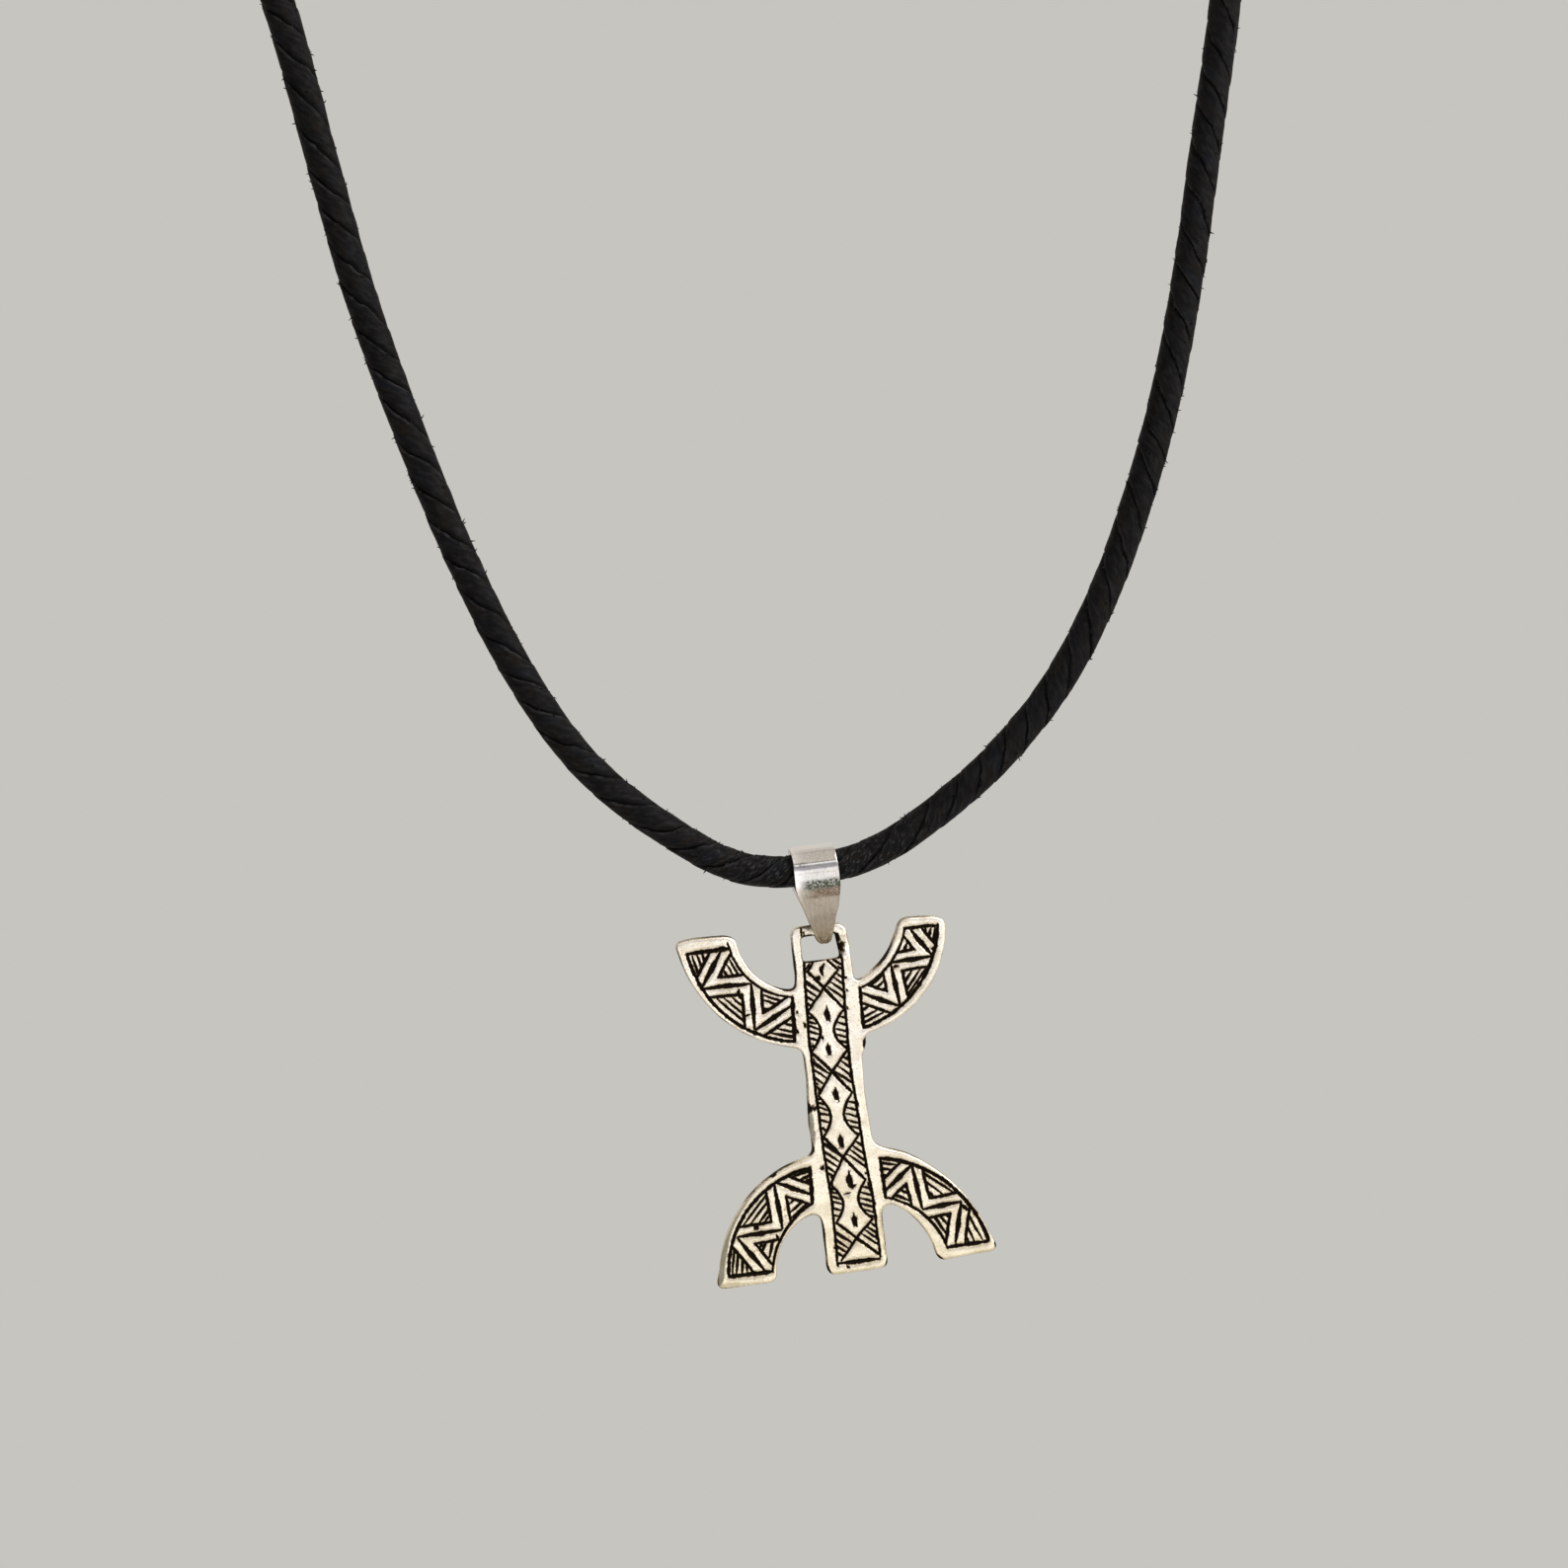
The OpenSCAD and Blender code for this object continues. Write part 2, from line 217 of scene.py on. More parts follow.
def wound_lace_tree():
    """Sweeps the section of the lapped strips along a line, twisted, with loose fibres on it."""
    tree, given, result = start_tree("wound_lace", {
        "Diameter": "NodeSocketFloat",
        "Strips": "NodeSocketInt",
        "Points Per Strip": "NodeSocketInt",
        "Pitch": "NodeSocketFloat",
        "Lap Height": "NodeSocketFloat",
        "Rings": "NodeSocketInt",
        "Fibres Per Square Metre": "NodeSocketFloat",
        "Fibre Length": "NodeSocketFloat",
        "Fibre Curl": "NodeSocketFloat",
        "Bail Station": "NodeSocketFloat",
        "Rubbed Reach": "NodeSocketFloat",
        "Seed": "NodeSocketInt",
        "Material": "NodeSocketMaterial",
    })
    sizes = given.outputs

    # The line, twisted once in each pitch
    line = add(tree, "GeometryNodeMeshToCurve", {"Mesh": sizes["Geometry"]})
    line = add(tree, "GeometryNodeResampleCurve", {"Curve": line, "Count": sizes["Rings"]})
    run = add(tree, "GeometryNodeSplineParameter").outputs["Length"]
    turns = add(tree, "ShaderNodeMath", {0: run, 1: sizes["Pitch"]}, operation="DIVIDE")

    # The winding is uneven, slowly and quickly: [changes in a turn, their swing in turns, detail]
    for pace, swing, detail in ((0.7, 0.3, 1.0), (5.0, 0.1, 2.0)):
        uneven = add(
            tree, "ShaderNodeTexNoise", {"W": turns, "Scale": pace, "Detail": detail},
            noise_dimensions="1D",
        )
        uneven = add(tree, "ShaderNodeMath", {0: uneven, 1: swing}, operation="MULTIPLY")
        turns = add(tree, "ShaderNodeMath", {0: turns, 1: uneven}, operation="ADD")
    twist = add(tree, "ShaderNodeMath", {0: turns, 1: -2 * math.pi}, operation="MULTIPLY")
    line = add(tree, "GeometryNodeSetCurveTilt", {"Curve": line, "Tilt": twist})
    line = add(
        tree, "GeometryNodeStoreNamedAttribute",
        {"Geometry": line, "Name": "along", "Value": run},
    )

    # The section: each strip starts with its free edge on top and ends under the next one
    count = add(
        tree, "ShaderNodeMath", {0: sizes["Strips"], 1: sizes["Points Per Strip"]},
        operation="MULTIPLY",
    )
    section = add(
        tree, "GeometryNodeCurvePrimitiveCircle", {"Resolution": count, "Radius": 1.0}
    )
    place = add(
        tree, "ShaderNodeMath",
        {0: add(tree, "GeometryNodeInputIndex"), 1: sizes["Points Per Strip"]},
        operation="DIVIDE",
    )
    strip = add(tree, "ShaderNodeMath", {0: place}, operation="FLOOR")
    on_strip = add(tree, "ShaderNodeMath", {0: place}, operation="FRACT")
    on_strip = add(
        tree, "ShaderNodeMath", {0: on_strip, 1: sizes["Points Per Strip"]}, operation="MULTIPLY"
    )
    last = add(
        tree, "ShaderNodeMath", {0: sizes["Points Per Strip"], 1: 1.0}, operation="SUBTRACT"
    )
    even = add(tree, "ShaderNodeMath", {0: on_strip, 1: last}, operation="DIVIDE")
    across = add(
        tree, "ShaderNodeMapRange", {"Value": even}, interpolation_type="SMOOTHSTEP"
    )

    # How high a strip lies, from its free edge, 0, to where the next one has covered it, 1
    heights = [
        (0, 0.1), (0.03, 0.9), (0.08, 1), (0.5, 0.9), (0.84, 0.78), (0.91, 0.45), (0.96, 0.1),
        (1, 0),
    ]
    lap = add(tree, "ShaderNodeFloatCurve", {"Value": across})
    curve = lap.mapping.curves[0]
    for u, height in heights[1:-1]:
        curve.points.new(u, height)
    curve.points[0].location = heights[0]
    curve.points[-1].location = heights[-1]
    lap.mapping.update()
    lift = add(tree, "ShaderNodeMath", {0: lap, 1: sizes["Lap Height"]}, operation="MULTIPLY")
    half = add(tree, "ShaderNodeMath", {0: sizes["Diameter"], 1: 0.5}, operation="MULTIPLY")
    sunk = add(tree, "ShaderNodeMath", {0: sizes["Lap Height"], 1: 0.75}, operation="MULTIPLY")
    core = add(tree, "ShaderNodeMath", {0: half, 1: sunk}, operation="SUBTRACT")
    radius = add(tree, "ShaderNodeMath", {0: core, 1: lift}, operation="ADD")
    share = add(tree, "ShaderNodeMath", {0: strip, 1: across}, operation="ADD")
    share = add(tree, "ShaderNodeMath", {0: share, 1: sizes["Strips"]}, operation="DIVIDE")
    angle = add(tree, "ShaderNodeMath", {0: share, 1: 2 * math.pi}, operation="MULTIPLY")
    level = add(tree, "ShaderNodeMath", {0: angle}, operation="COSINE")
    steep = add(tree, "ShaderNodeMath", {0: angle}, operation="SINE")
    round_place = add(
        tree, "ShaderNodeVectorMath",
        {0: add(tree, "ShaderNodeCombineXYZ", {"X": level, "Y": steep}), "Scale": radius},
        operation="SCALE",
    )
    section = add(tree, "GeometryNodeSetPosition", {"Geometry": section, "Position": round_place})
    for name, value in (("across", across), ("around", share)):
        section = add(
            tree, "GeometryNodeStoreNamedAttribute",
            {"Geometry": section, "Name": name, "Value": value},
        )
    lace = add(
        tree, "GeometryNodeCurveToMesh",
        {"Curve": line, "Profile Curve": section, "Fill Caps": True},
    )

    # The leather itself is a little uneven, coarse to fine: [seed, size, height]
    for seed, size, height in ((1.0, 4, 0.05), (2.0, 1.1, 0.03), (3.0, 0.4, 0.016)):
        lace = rough_surface(tree, lace, size * MM, height * MM, seed)

    # The free edges of the strips are frayed, and most of the loose fibres are there
    edge = add(tree, "GeometryNodeInputNamedAttribute", {"Name": "across"})
    near = add(tree, "ShaderNodeMapRange", {
        "Value": edge.outputs["Attribute"], "From Min": 0.0, "From Max": 0.12,
        "To Min": 1.0, "To Max": 0.06,
    })
    for seed, size, height in ((4.0, 0.9, 0.2), (5.0, 0.4, 0.12)):
        lace = rough_surface(tree, lace, size * MM, height * MM, seed, near)
    density = add(
        tree, "ShaderNodeMath", {0: near, 1: sizes["Fibres Per Square Metre"]},
        operation="MULTIPLY",
    )

    # None are left where the bail rubs
    station = add(tree, "GeometryNodeInputNamedAttribute", {"Name": "along"})
    from_bail = add(
        tree, "ShaderNodeMath", {0: station.outputs["Attribute"], 1: sizes["Bail Station"]},
        operation="SUBTRACT",
    )
    from_bail = add(tree, "ShaderNodeMath", {0: from_bail}, operation="ABSOLUTE")
    outside = add(
        tree, "ShaderNodeMath", {0: from_bail, 1: sizes["Rubbed Reach"]}, operation="GREATER_THAN"
    )
    density = add(tree, "ShaderNodeMath", {0: density, 1: outside}, operation="MULTIPLY")
    roots = add(
        tree, "GeometryNodeDistributePointsOnFaces",
        {"Mesh": lace, "Density": density, "Seed": sizes["Seed"]},
    )

    # Each loose fibre: thin, bent over, and leaning any way
    fibre = add(
        tree, "GeometryNodeMeshCone",
        {"Vertices": 3, "Side Segments": 4, "Radius Top": 0.03 * MM,
         "Radius Bottom": 0.1 * MM, "Depth": sizes["Fibre Length"]},
    )
    height_up = add(
        tree, "ShaderNodeSeparateXYZ", {"Vector": add(tree, "GeometryNodeInputPosition")}
    ).outputs["Z"]
    bend = add(tree, "ShaderNodeMath", {0: height_up, 1: 2.0}, operation="POWER")
    bend = add(tree, "ShaderNodeMath", {0: bend, 1: sizes["Fibre Curl"]}, operation="MULTIPLY")
    fibre = add(tree, "GeometryNodeSetPosition", {
        "Geometry": fibre, "Offset": add(tree, "ShaderNodeCombineXYZ", {"X": bend}),
    })
    lean = add(tree, "FunctionNodeRandomValue", {
        "Min": (-1.2, -1.2, -3.1), "Max": (1.2, 1.2, 3.1), "Seed": sizes["Seed"],
    }, data_type="FLOAT_VECTOR")
    pose = add(tree, "FunctionNodeRotateRotation", {
        "Rotation": roots.outputs["Rotation"],
        "Rotate By": add(tree, "FunctionNodeEulerToRotation", {"Euler": lean}),
    }, rotation_space="LOCAL")
    length = add(
        tree, "FunctionNodeRandomValue", {"Min": 0.25, "Max": 1.0, "Seed": sizes["Seed"]},
        data_type="FLOAT",
    )
    fibres = add(tree, "GeometryNodeInstanceOnPoints", {
        "Points": roots, "Instance": fibre, "Rotation": pose, "Scale": length,
    })
    whole = add(tree, "GeometryNodeJoinGeometry", {"Geometry": lace})
    tree.links.new(fibres.outputs["Instances"], whole.inputs["Geometry"])
    whole = add(tree, "GeometryNodeRealizeInstances", {"Geometry": whole})
    whole = add(tree, "GeometryNodeSetShadeSmooth", {"Geometry": whole})
    whole = add(
        tree, "GeometryNodeSetMaterial", {"Geometry": whole, "Material": sizes["Material"]}
    )
    tree.links.new(whole.outputs["Geometry"], result.inputs["Geometry"])
    return tree


def colour(code):
    """An sRGB hex colour as Blender's linear red, green, blue and alpha."""
    shares = [int(code[i : i + 2], 16) / 255 for i in (1, 3, 5)]
    return [s / 12.92 if s <= 0.04045 else ((s + 0.055) / 1.055) ** 2.4 for s in shares] + [1]


def start_material(name, **same_all_over):
    """A new material, its nodes and its shader, with the values that are the same all over."""
    material = bpy.data.materials.new(name)
    material.use_nodes = True
    tree = material.node_tree
    tree.nodes.clear()
    shader = add(tree, "ShaderNodeBsdfPrincipled")
    for socket, value in same_all_over.items():
        shader.inputs[socket.replace("_", " ")].default_value = value
    add(tree, "ShaderNodeOutputMaterial", {"Surface": shader})
    return material, tree, shader


def layered(tree, base, coats):
    """A colour with coats laid over it in turn. Each coat is how far it covers, from 0 to 1,
    and its own colour."""
    for share, coat in coats:
        base = add(
            tree, "ShaderNodeMix", {"Factor": share, "A": base, "B": coat}, data_type="RGBA"
        )
    return base


def speckle(tree, place, size, low, high, detail=2.0):
    """Soft patches of about this size in metres: 0 between them and 1 in them. The further
    apart low and high are, the softer their edges."""
    patches = add(tree, "ShaderNodeTexNoise",
                  {"Vector": place, "Scale": 1 / size, "Detail": detail})
    return add(tree, "ShaderNodeMapRange",
               {"Value": patches, "From Min": low, "From Max": high})


def dyed_leather():
    """Chrome tanned goat leather, split thin and drum dyed black. The dye sits unevenly, so
    the black turns brownish, greenish and bluish, and the drawn grain leaves faint streaks."""
    material, tree, shader = start_material("dyed_wound_leather", Specular_IOR_Level=0.07)
    place = add(tree, "ShaderNodeTexCoord").outputs["Object"]
    along = add(tree, "ShaderNodeAttribute", attribute_name="along").outputs["Fac"]
    around = add(tree, "ShaderNodeAttribute", attribute_name="around").outputs["Fac"]
    across = add(tree, "ShaderNodeAttribute", attribute_name="across").outputs["Fac"]
    girth = add(tree, "ShaderNodeMath", {0: around, 1: math.pi * cord_diameter},
                operation="MULTIPLY")
    on_strip = add(tree, "ShaderNodeCombineXYZ", {"X": along, "Y": girth})
    drawn = add(tree, "ShaderNodeMapping", {"Vector": on_strip, "Scale": (0.6, 1, 1)})
    brown = speckle(tree, place, 1.6 * MM, 0.45, 0.7)
    blue = speckle(tree, on_strip, 2.4 * MM, 0.5, 0.75)
    grey = speckle(tree, drawn, 0.5 * MM, 0.45, 0.8, 4.0)

    # It is scuffed beside the bail, which is slid along it by hand
    from_bail = add(tree, "ShaderNodeMath", {0: along, 1: bail_station}, operation="SUBTRACT")
    from_bail = add(tree, "ShaderNodeMath", {0: from_bail}, operation="ABSOLUTE")
    handled = add(tree, "ShaderNodeMapRange",
                  {"Value": from_bail, "From Min": 14 * MM, "From Max": 4 * MM})
    scuffs = speckle(tree, drawn, 0.25 * MM, 0.55, 0.66, 3.0)
    scuffs = add(tree, "ShaderNodeMath", {0: scuffs, 1: handled}, operation="MULTIPLY")

    # Each strip is grey on its free edge, partly wear and partly a painted highlight, and black
    # in the seam under the next one, which is painted shade in the crevice
    worn = add(tree, "ShaderNodeMapRange", {"Value": across, "From Min": 0.12, "From Max": 0.02})
    worn = add(tree, "ShaderNodeMath", {0: worn, 1: speckle(tree, place, 1.2 * MM, 0.4, 0.6)},
               operation="MULTIPLY")
    ragged = speckle(tree, place, 0.7 * MM, 0.3, 0.7)
    seam_start = add(tree, "ShaderNodeMapRange",
                     {"Value": ragged, "To Min": 0.7, "To Max": 0.88})
    seam_shade = add(tree, "ShaderNodeMapRange",
               {"Value": across, "From Min": seam_start, "From Max": 0.96})
    # The black in the seams is painted shade, and the grey on the free edges is partly painted highlight
    dye_and_shade = layered(tree, colour("#0a0a0b"), [
        (brown, colour("#15110d")), (blue, colour("#0e1219")), (grey, colour("#1d1d1e")),
        (scuffs, colour("#35363a")), (worn, colour("#2b2a2b")), (seam_shade, colour("#000000")),
    ])
    tree.links.new(dye_and_shade.outputs[2], shader.inputs["Base Color"])

    gloss = add(tree, "ShaderNodeMapRange", {"Value": grey, "To Min": 0.62, "To Max": 0.36})
    tree.links.new(gloss.outputs["Result"], shader.inputs["Roughness"])
    pores = add(tree, "ShaderNodeTexVoronoi",
                {"Vector": on_strip, "Scale": 1 / (0.28 * MM)}, feature="DISTANCE_TO_EDGE")
    grain = add(tree, "ShaderNodeBump",
                {"Height": pores, "Strength": 0.35, "Distance": 0.05 * MM})
    creases = add(tree, "ShaderNodeBump",
                  {"Height": grey, "Strength": 0.4, "Distance": 0.05 * MM, "Normal": grain})
    tree.links.new(creases.outputs["Normal"], shader.inputs["Normal"])
    return material


cord_start = mesh_piece(
    "cord_line", cord_line, [], [(k, k + 1) for k in range(len(cord_line) - 1)]
)
leather_cord = grow(cord_start, wound_lace_tree(), {
    "Diameter": cord_diameter,
    "Strips": strips,
    "Points Per Strip": points_per_strip,
    "Pitch": winding_pitch,
    "Lap Height": lap_height,
    "Rings": round(cord_length / ring_step),
    "Fibres Per Square Metre": fibres_per_m2,
    "Fibre Length": fibre_length,
    "Fibre Curl": fibre_curl,
    "Bail Station": bail_station,
    "Rubbed Reach": rubbed_reach,
    "Seed": 3,
    "Material": dyed_leather(),
}, "wound_leather_cord")
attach(leather_cord, "necklace")
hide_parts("leather_cord")


# Clasp
# Hidden at the nape in the photograph, so it is plain: one barrel turned from brass and
# silver plated, its rims broken, a ring turned near each rim, bored for the cord's ends.
clasp_low, clasp_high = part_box("clasp")
clasp_half = (clasp_high.x - clasp_low.x) / 2
clasp_radius = (clasp_high.z - clasp_low.z) / 2
bore_radius = cord_diameter / 2 + 0.15 * MM
bore_depth = 2.5 * MM
rim_round = 0.3 * MM
broken_edge = 0.05 * MM
mouth_depth = 0.06 * MM
mouth_flare = 0.04 * MM
ring_depth = 0.12 * MM
# The ring turned near each rim: [share of the half length from the rim, share of its depth]
RING = [[0.2, 0], [0.22, 0.7], [0.24, 1], [0.26, 1], [0.28, 0.7], [0.3, 0]]


def turned(name, profile, sides, centre):
    """A body turned on the X axis from a profile of [x, radius], closed at both ends."""
    points, faces = [], []
    for x, radius in profile[1:-1]:
        for s in range(sides):
            angle = 2 * math.pi * s / sides
            points.append(centre + Vector((x, radius * math.cos(angle), radius * math.sin(angle))))
    for ring in range(len(profile) - 3):
        for s in range(sides):
            a, b = ring * sides + s, ring * sides + (s + 1) % sides
            faces.append((a, b, b + sides, a + sides))
    last = len(points) - sides
    points += [centre + Vector((profile[0][0], 0, 0)), centre + Vector((profile[-1][0], 0, 0))]
    for s in range(sides):
        after = (s + 1) % sides
        faces.append((len(points) - 2, after, s))
        faces.append((len(points) - 1, last + s, last + after))
    return mesh_piece(name, points, faces)


def rounded_rim(x, radius, size, steps=5):
    """A quarter round at the left rim of a turned body, from its end face to its side."""
    arc = []
    for k in range(steps + 1):
        angle = math.pi / 2 * (1 - k / steps)
        arc.append((x + size * (1 - math.sin(angle)), radius - size * (1 - math.cos(angle))))
    return arc


def barrel_profile():
    """The barrel's profile of [x, radius], from the bottom of its left bore round the outside
    to the bottom of its right bore."""
    bore_end = bore_depth - clasp_half
    half = [
        (bore_end, 0), (bore_end, bore_radius - broken_edge), (bore_end - broken_edge, bore_radius),
        (mouth_depth - clasp_half, bore_radius), (-clasp_half, bore_radius + mouth_flare),
    ]
    half += rounded_rim(-clasp_half, clasp_radius, rim_round)
    for share, dip in RING:
        half.append((-clasp_half * (1 - share), clasp_radius - dip * ring_depth))
    half += [(-clasp_half * 0.5, clasp_radius), (-clasp_half * 0.25, clasp_radius)]
    return half + [(0, clasp_radius)] + [(-x, radius) for x, radius in half[::-1]]


clasp = turned("barrel_clasp", barrel_profile(), 64, (clasp_low + clasp_high) / 2)


def turned_silver_plate():
    """Brass turned on a lathe and silver plated: the tool leaves fine rings round the barrel,
    softened by the plating, and handling dulls it in patches."""
    material, tree, shader = start_material("silver_plated_brass", Metallic=1.0)
    place = add(tree, "ShaderNodeTexCoord").outputs["Object"]

    # The tool's rings are too fine to show, so they are drawn 0.12 mm apart
    rings = add(tree, "ShaderNodeMapping", {"Vector": place, "Scale": (1, 0.01, 0.01)})
    tool = add(tree, "ShaderNodeTexNoise",
               {"Vector": rings, "Scale": 1 / (0.12 * MM), "Detail": 3.0})
    handled = speckle(tree, place, 2.5 * MM, 0.45, 0.7)
    tone = layered(tree, colour("#d8d2c6"), [(handled, colour("#bdb5a6"))])
    tree.links.new(tone.outputs[2], shader.inputs["Base Color"])
    dull = add(tree, "ShaderNodeMapRange", {"Value": handled, "To Min": 0.28, "To Max": 0.42})
    tree.links.new(dull.outputs["Result"], shader.inputs["Roughness"])
    cut = add(tree, "ShaderNodeBump",
              {"Height": tool, "Strength": 0.4, "Distance": 0.02 * MM})
    tree.links.new(cut.outputs["Normal"], shader.inputs["Normal"])
    return material


clasp.data.materials.append(turned_silver_plate())
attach(clasp, "necklace")
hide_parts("clasp")


# Bail
# A strip of silver sheet 0.4 mm thick, folded over the cord into a wide barrel, drawn in to
# a tongue that passes through the plate, and soldered shut under the bar at its tip. All the
# lengths of this section are in millimetres, with z = 0 on the axis of the cord.
joint_z = {joint["name"]: joint["pos_m"][2] / MM for joint in frame["joints"]}
bail_z = joint_z["bail_swing"]
hinge_z = joint_z["pendant_swing"]
bail_drop = bail_z - hinge_z
sheet = 0.4
cord_bend = 2.0
bar_bend = 1.0
tip_bead = 0.25
leaf_bow = 0.12
burnished = 0.09
# The front is rubbed thinner along its left edge
rubbed_width = 0.5
rubbed_depth = 0.09
# The folded sheet is nearly even over the cord and a little wavy below it
barrel_wave = 0.006
leaf_wave = 0.02
# A shallow groove follows the edge of the tip, below this height
groove_top = -6.1
groove_inset = 0.3
groove_half = 0.1
groove_deep = 0.09
# How much narrower the back leaf was cut on each side, midway between these two heights
narrower = 0.2
narrow_top = -1.4
narrow_low = -6.9

# Outline of the bail from the front: [height, left edge, right edge]
BAIL_OUTLINE = [
    [2.4, -2.14, 2.08], [0, -2.19, 2.15], [-1.7, -2.18, 2.2], [-2.1, -2.1, 2.15],
    [-2.72, -1.92, 2.04], [-3.72, -1.6, 1.86], [-4.57, -1.34, 1.55], [-5.5, -1.04, 1.31],
    [-6.4, -0.77, 1.08], [-7.05, -0.5, 0.91], [-7.3, -0.35, 0.8], [-7.45, -0.15, 0.62],
    [-7.53, 0.05, 0.4],
]
# Stains that soldering left on the front, partly painted reflection of the room's bands that
# the barrel mirrors: its top and bottom height, where it starts across the bail, how far it
# takes to come in there (from the other side where that is negative), how strong it is, where
# its spots fall, and its colour
STAINS_AND_REFLECTIONS = [
    [-1.4, -3.1, -1.6, 0.4, 0.5, 0.6, "#8a8766"],
    [-1.65, -2.95, -0.9, 0.8, 0.9, 0.3, "#76574a"],
    [-0.8, -2.15, -1.45, 0.5, 1.0, 0.0, "#434a40"],
    [0.9, 0.2, -0.9, -0.4, 0.75, 0.9, "#857f80"],
]
across_points = 30
stations = {"barrel": 40, "leaf": 44, "tip": 48}


def middle_and_half(height):
    """Middle of the bail and half its width at this height."""
    heights, lefts, rights = zip(*BAIL_OUTLINE[::-1])
    left, right = np.interp(height, heights, lefts), np.interp(height, heights, rights)
    return float(left + right) / 2, float(right - left) / 2


def bail_stations():
    """Middle of the sheet and its outward direction, [y, z] each, all the way round the fold."""
    lean = math.asin((cord_bend - bar_bend) / bail_drop)
    around = []

    def arc(centre_z, radius, first, last, count):
        for k in range(count):
            angle = first + (last - first) * k / count
            out = Vector((-math.cos(angle), math.sin(angle)))
            around.append((Vector((0, centre_z)) + radius * out, out))

    def leaf(first, last, out, count):
        for k in range(count):
            t = k / count
            around.append((first.lerp(last, t) + out * leaf_bow * 4 * t * (1 - t), out))

    quarter = math.pi / 2
    arc(0, cord_bend, quarter, -lean, stations["barrel"])
    front = Vector((-math.cos(lean), -math.sin(lean)))
    low = Vector((0, -bail_drop))
    leaf(cord_bend * front, low + bar_bend * front, front, stations["leaf"])
    arc(-bail_drop, bar_bend, -lean, -2 * quarter + lean, stations["tip"])
    behind = Vector((-front.x, front.y))
    leaf(low + bar_bend * behind, cord_bend * behind, behind, stations["leaf"])
    arc(0, cord_bend, -2 * quarter + lean, -3 * quarter, stations["barrel"])
    return around


def bail_section(middle, out):
    """The points round the strip at one station: outer face, edge, inner face and edge."""
    under_bar = max(0, -out.y) ** 6 if middle.y < -bail_drop else 0
    surface = {1: middle + out * (sheet / 2 + tip_bead * under_bar), -1: middle - out * sheet / 2}
    centre, half = middle_and_half(surface[1].y)
    if out.x > 0 and narrow_low < middle.y < narrow_top:
        up_leaf = (middle.y - narrow_low) / (narrow_top - narrow_low)
        half -= narrower * math.sin(math.pi * up_leaf)
    row = []
    for side in (1, -1):
        height = surface[side].y
        for k in range(across_points):
            x = side * (half - burnished) * (2 * k / (across_points - 1) - 1)
            wave = barrel_wave if height > -1 else leaf_wave
            shift = wave * noise.noise(Vector((x, height * 0.7, side)))
            if side > 0 > out.x:
                shift -= rubbed_depth * max(0, 1 - (half + x) / rubbed_width) ** 2
                if height < groove_top:
                    from_edge = min(half - abs(x), height - BAIL_OUTLINE[-1][0] + 0.1)
                    off = (from_edge - groove_inset) / groove_half
                    shift -= groove_deep * math.exp(-(off**2))
            spot = surface[side] + out * side * shift
            row.append(Vector((centre + x, spot.x, spot.y)))
        eased = burnished * (1 - math.sin(math.pi / 4))
        for x, spot in (
            (half - eased, surface[side] - out * side * eased),
            (half, middle),
            (half - eased, surface[-side] + out * side * eased),
        ):
            row.append(Vector((centre + side * x, spot.x, spot.y)))
    return row


def folded_bail():
    """The strip as one closed skin, from section to section all the way round the fold."""
    rows = [bail_section(middle, out) for middle, out in bail_stations()]
    size = len(rows[0])
    faces = []
    for i in range(len(rows)):
        after = (i + 1) % len(rows)
        for j in range(size):
            k = (j + 1) % size
            faces.append((i * size + j, after * size + j, after * size + k, i * size + k))
    points = [(spot + Vector((0, 0, bail_z))) * MM for row in rows for spot in row]
    return mesh_piece("folded_bail", points, faces)


def stain_and_reflection(tree, place, top, low, start, fade, strength, seed):
    """How strong a stain on the front of the bail, partly heat tint and partly painted reflection, is at
    each place. Its spots are 0.14 mm wide.
    """
    aside, depth, height = add(tree, "ShaderNodeSeparateXYZ", {"Vector": place}).outputs
    band = add(tree, "ShaderNodeMapRange", {
        "Value": height, "From Min": (bail_z + top) * MM, "From Max": (bail_z + low) * MM,
    }, interpolation_type="SMOOTHSTEP", clamp=False)
    bell = add(tree, "ShaderNodeMath", {0: band, 1: 0.5}, operation="SUBTRACT")
    bell = add(tree, "ShaderNodeMath", {0: bell}, operation="ABSOLUTE")
    bell = add(tree, "ShaderNodeMapRange", {"Value": bell, "From Min": 0.55, "From Max": 0.35})
    moved = add(tree, "ShaderNodeMapping", {"Vector": place, "Location": (seed, 0, 0)})
    cells = add(tree, "ShaderNodeTexVoronoi", {"Vector": moved, "Scale": 1 / (0.14 * MM)})
    spots = add(tree, "ShaderNodeSeparateColor", {"Color": cells.outputs["Color"]})
    spots = add(tree, "ShaderNodeMapRange", {"Value": spots, "To Min": 0.5, "To Max": 1.2})
    past = add(tree, "ShaderNodeMapRange", {
        "Value": aside, "From Min": (start - fade) * MM, "From Max": (start + fade) * MM,
    })
    front = add(tree, "ShaderNodeMapRange",
                {"Value": depth, "From Min": -1.0 * MM, "From Max": -1.5 * MM})
    amount = bell
    for share in (spots, front, past, strength):
        amount = add(tree, "ShaderNodeMath", {0: amount, 1: share}, operation="MULTIPLY")
    return amount


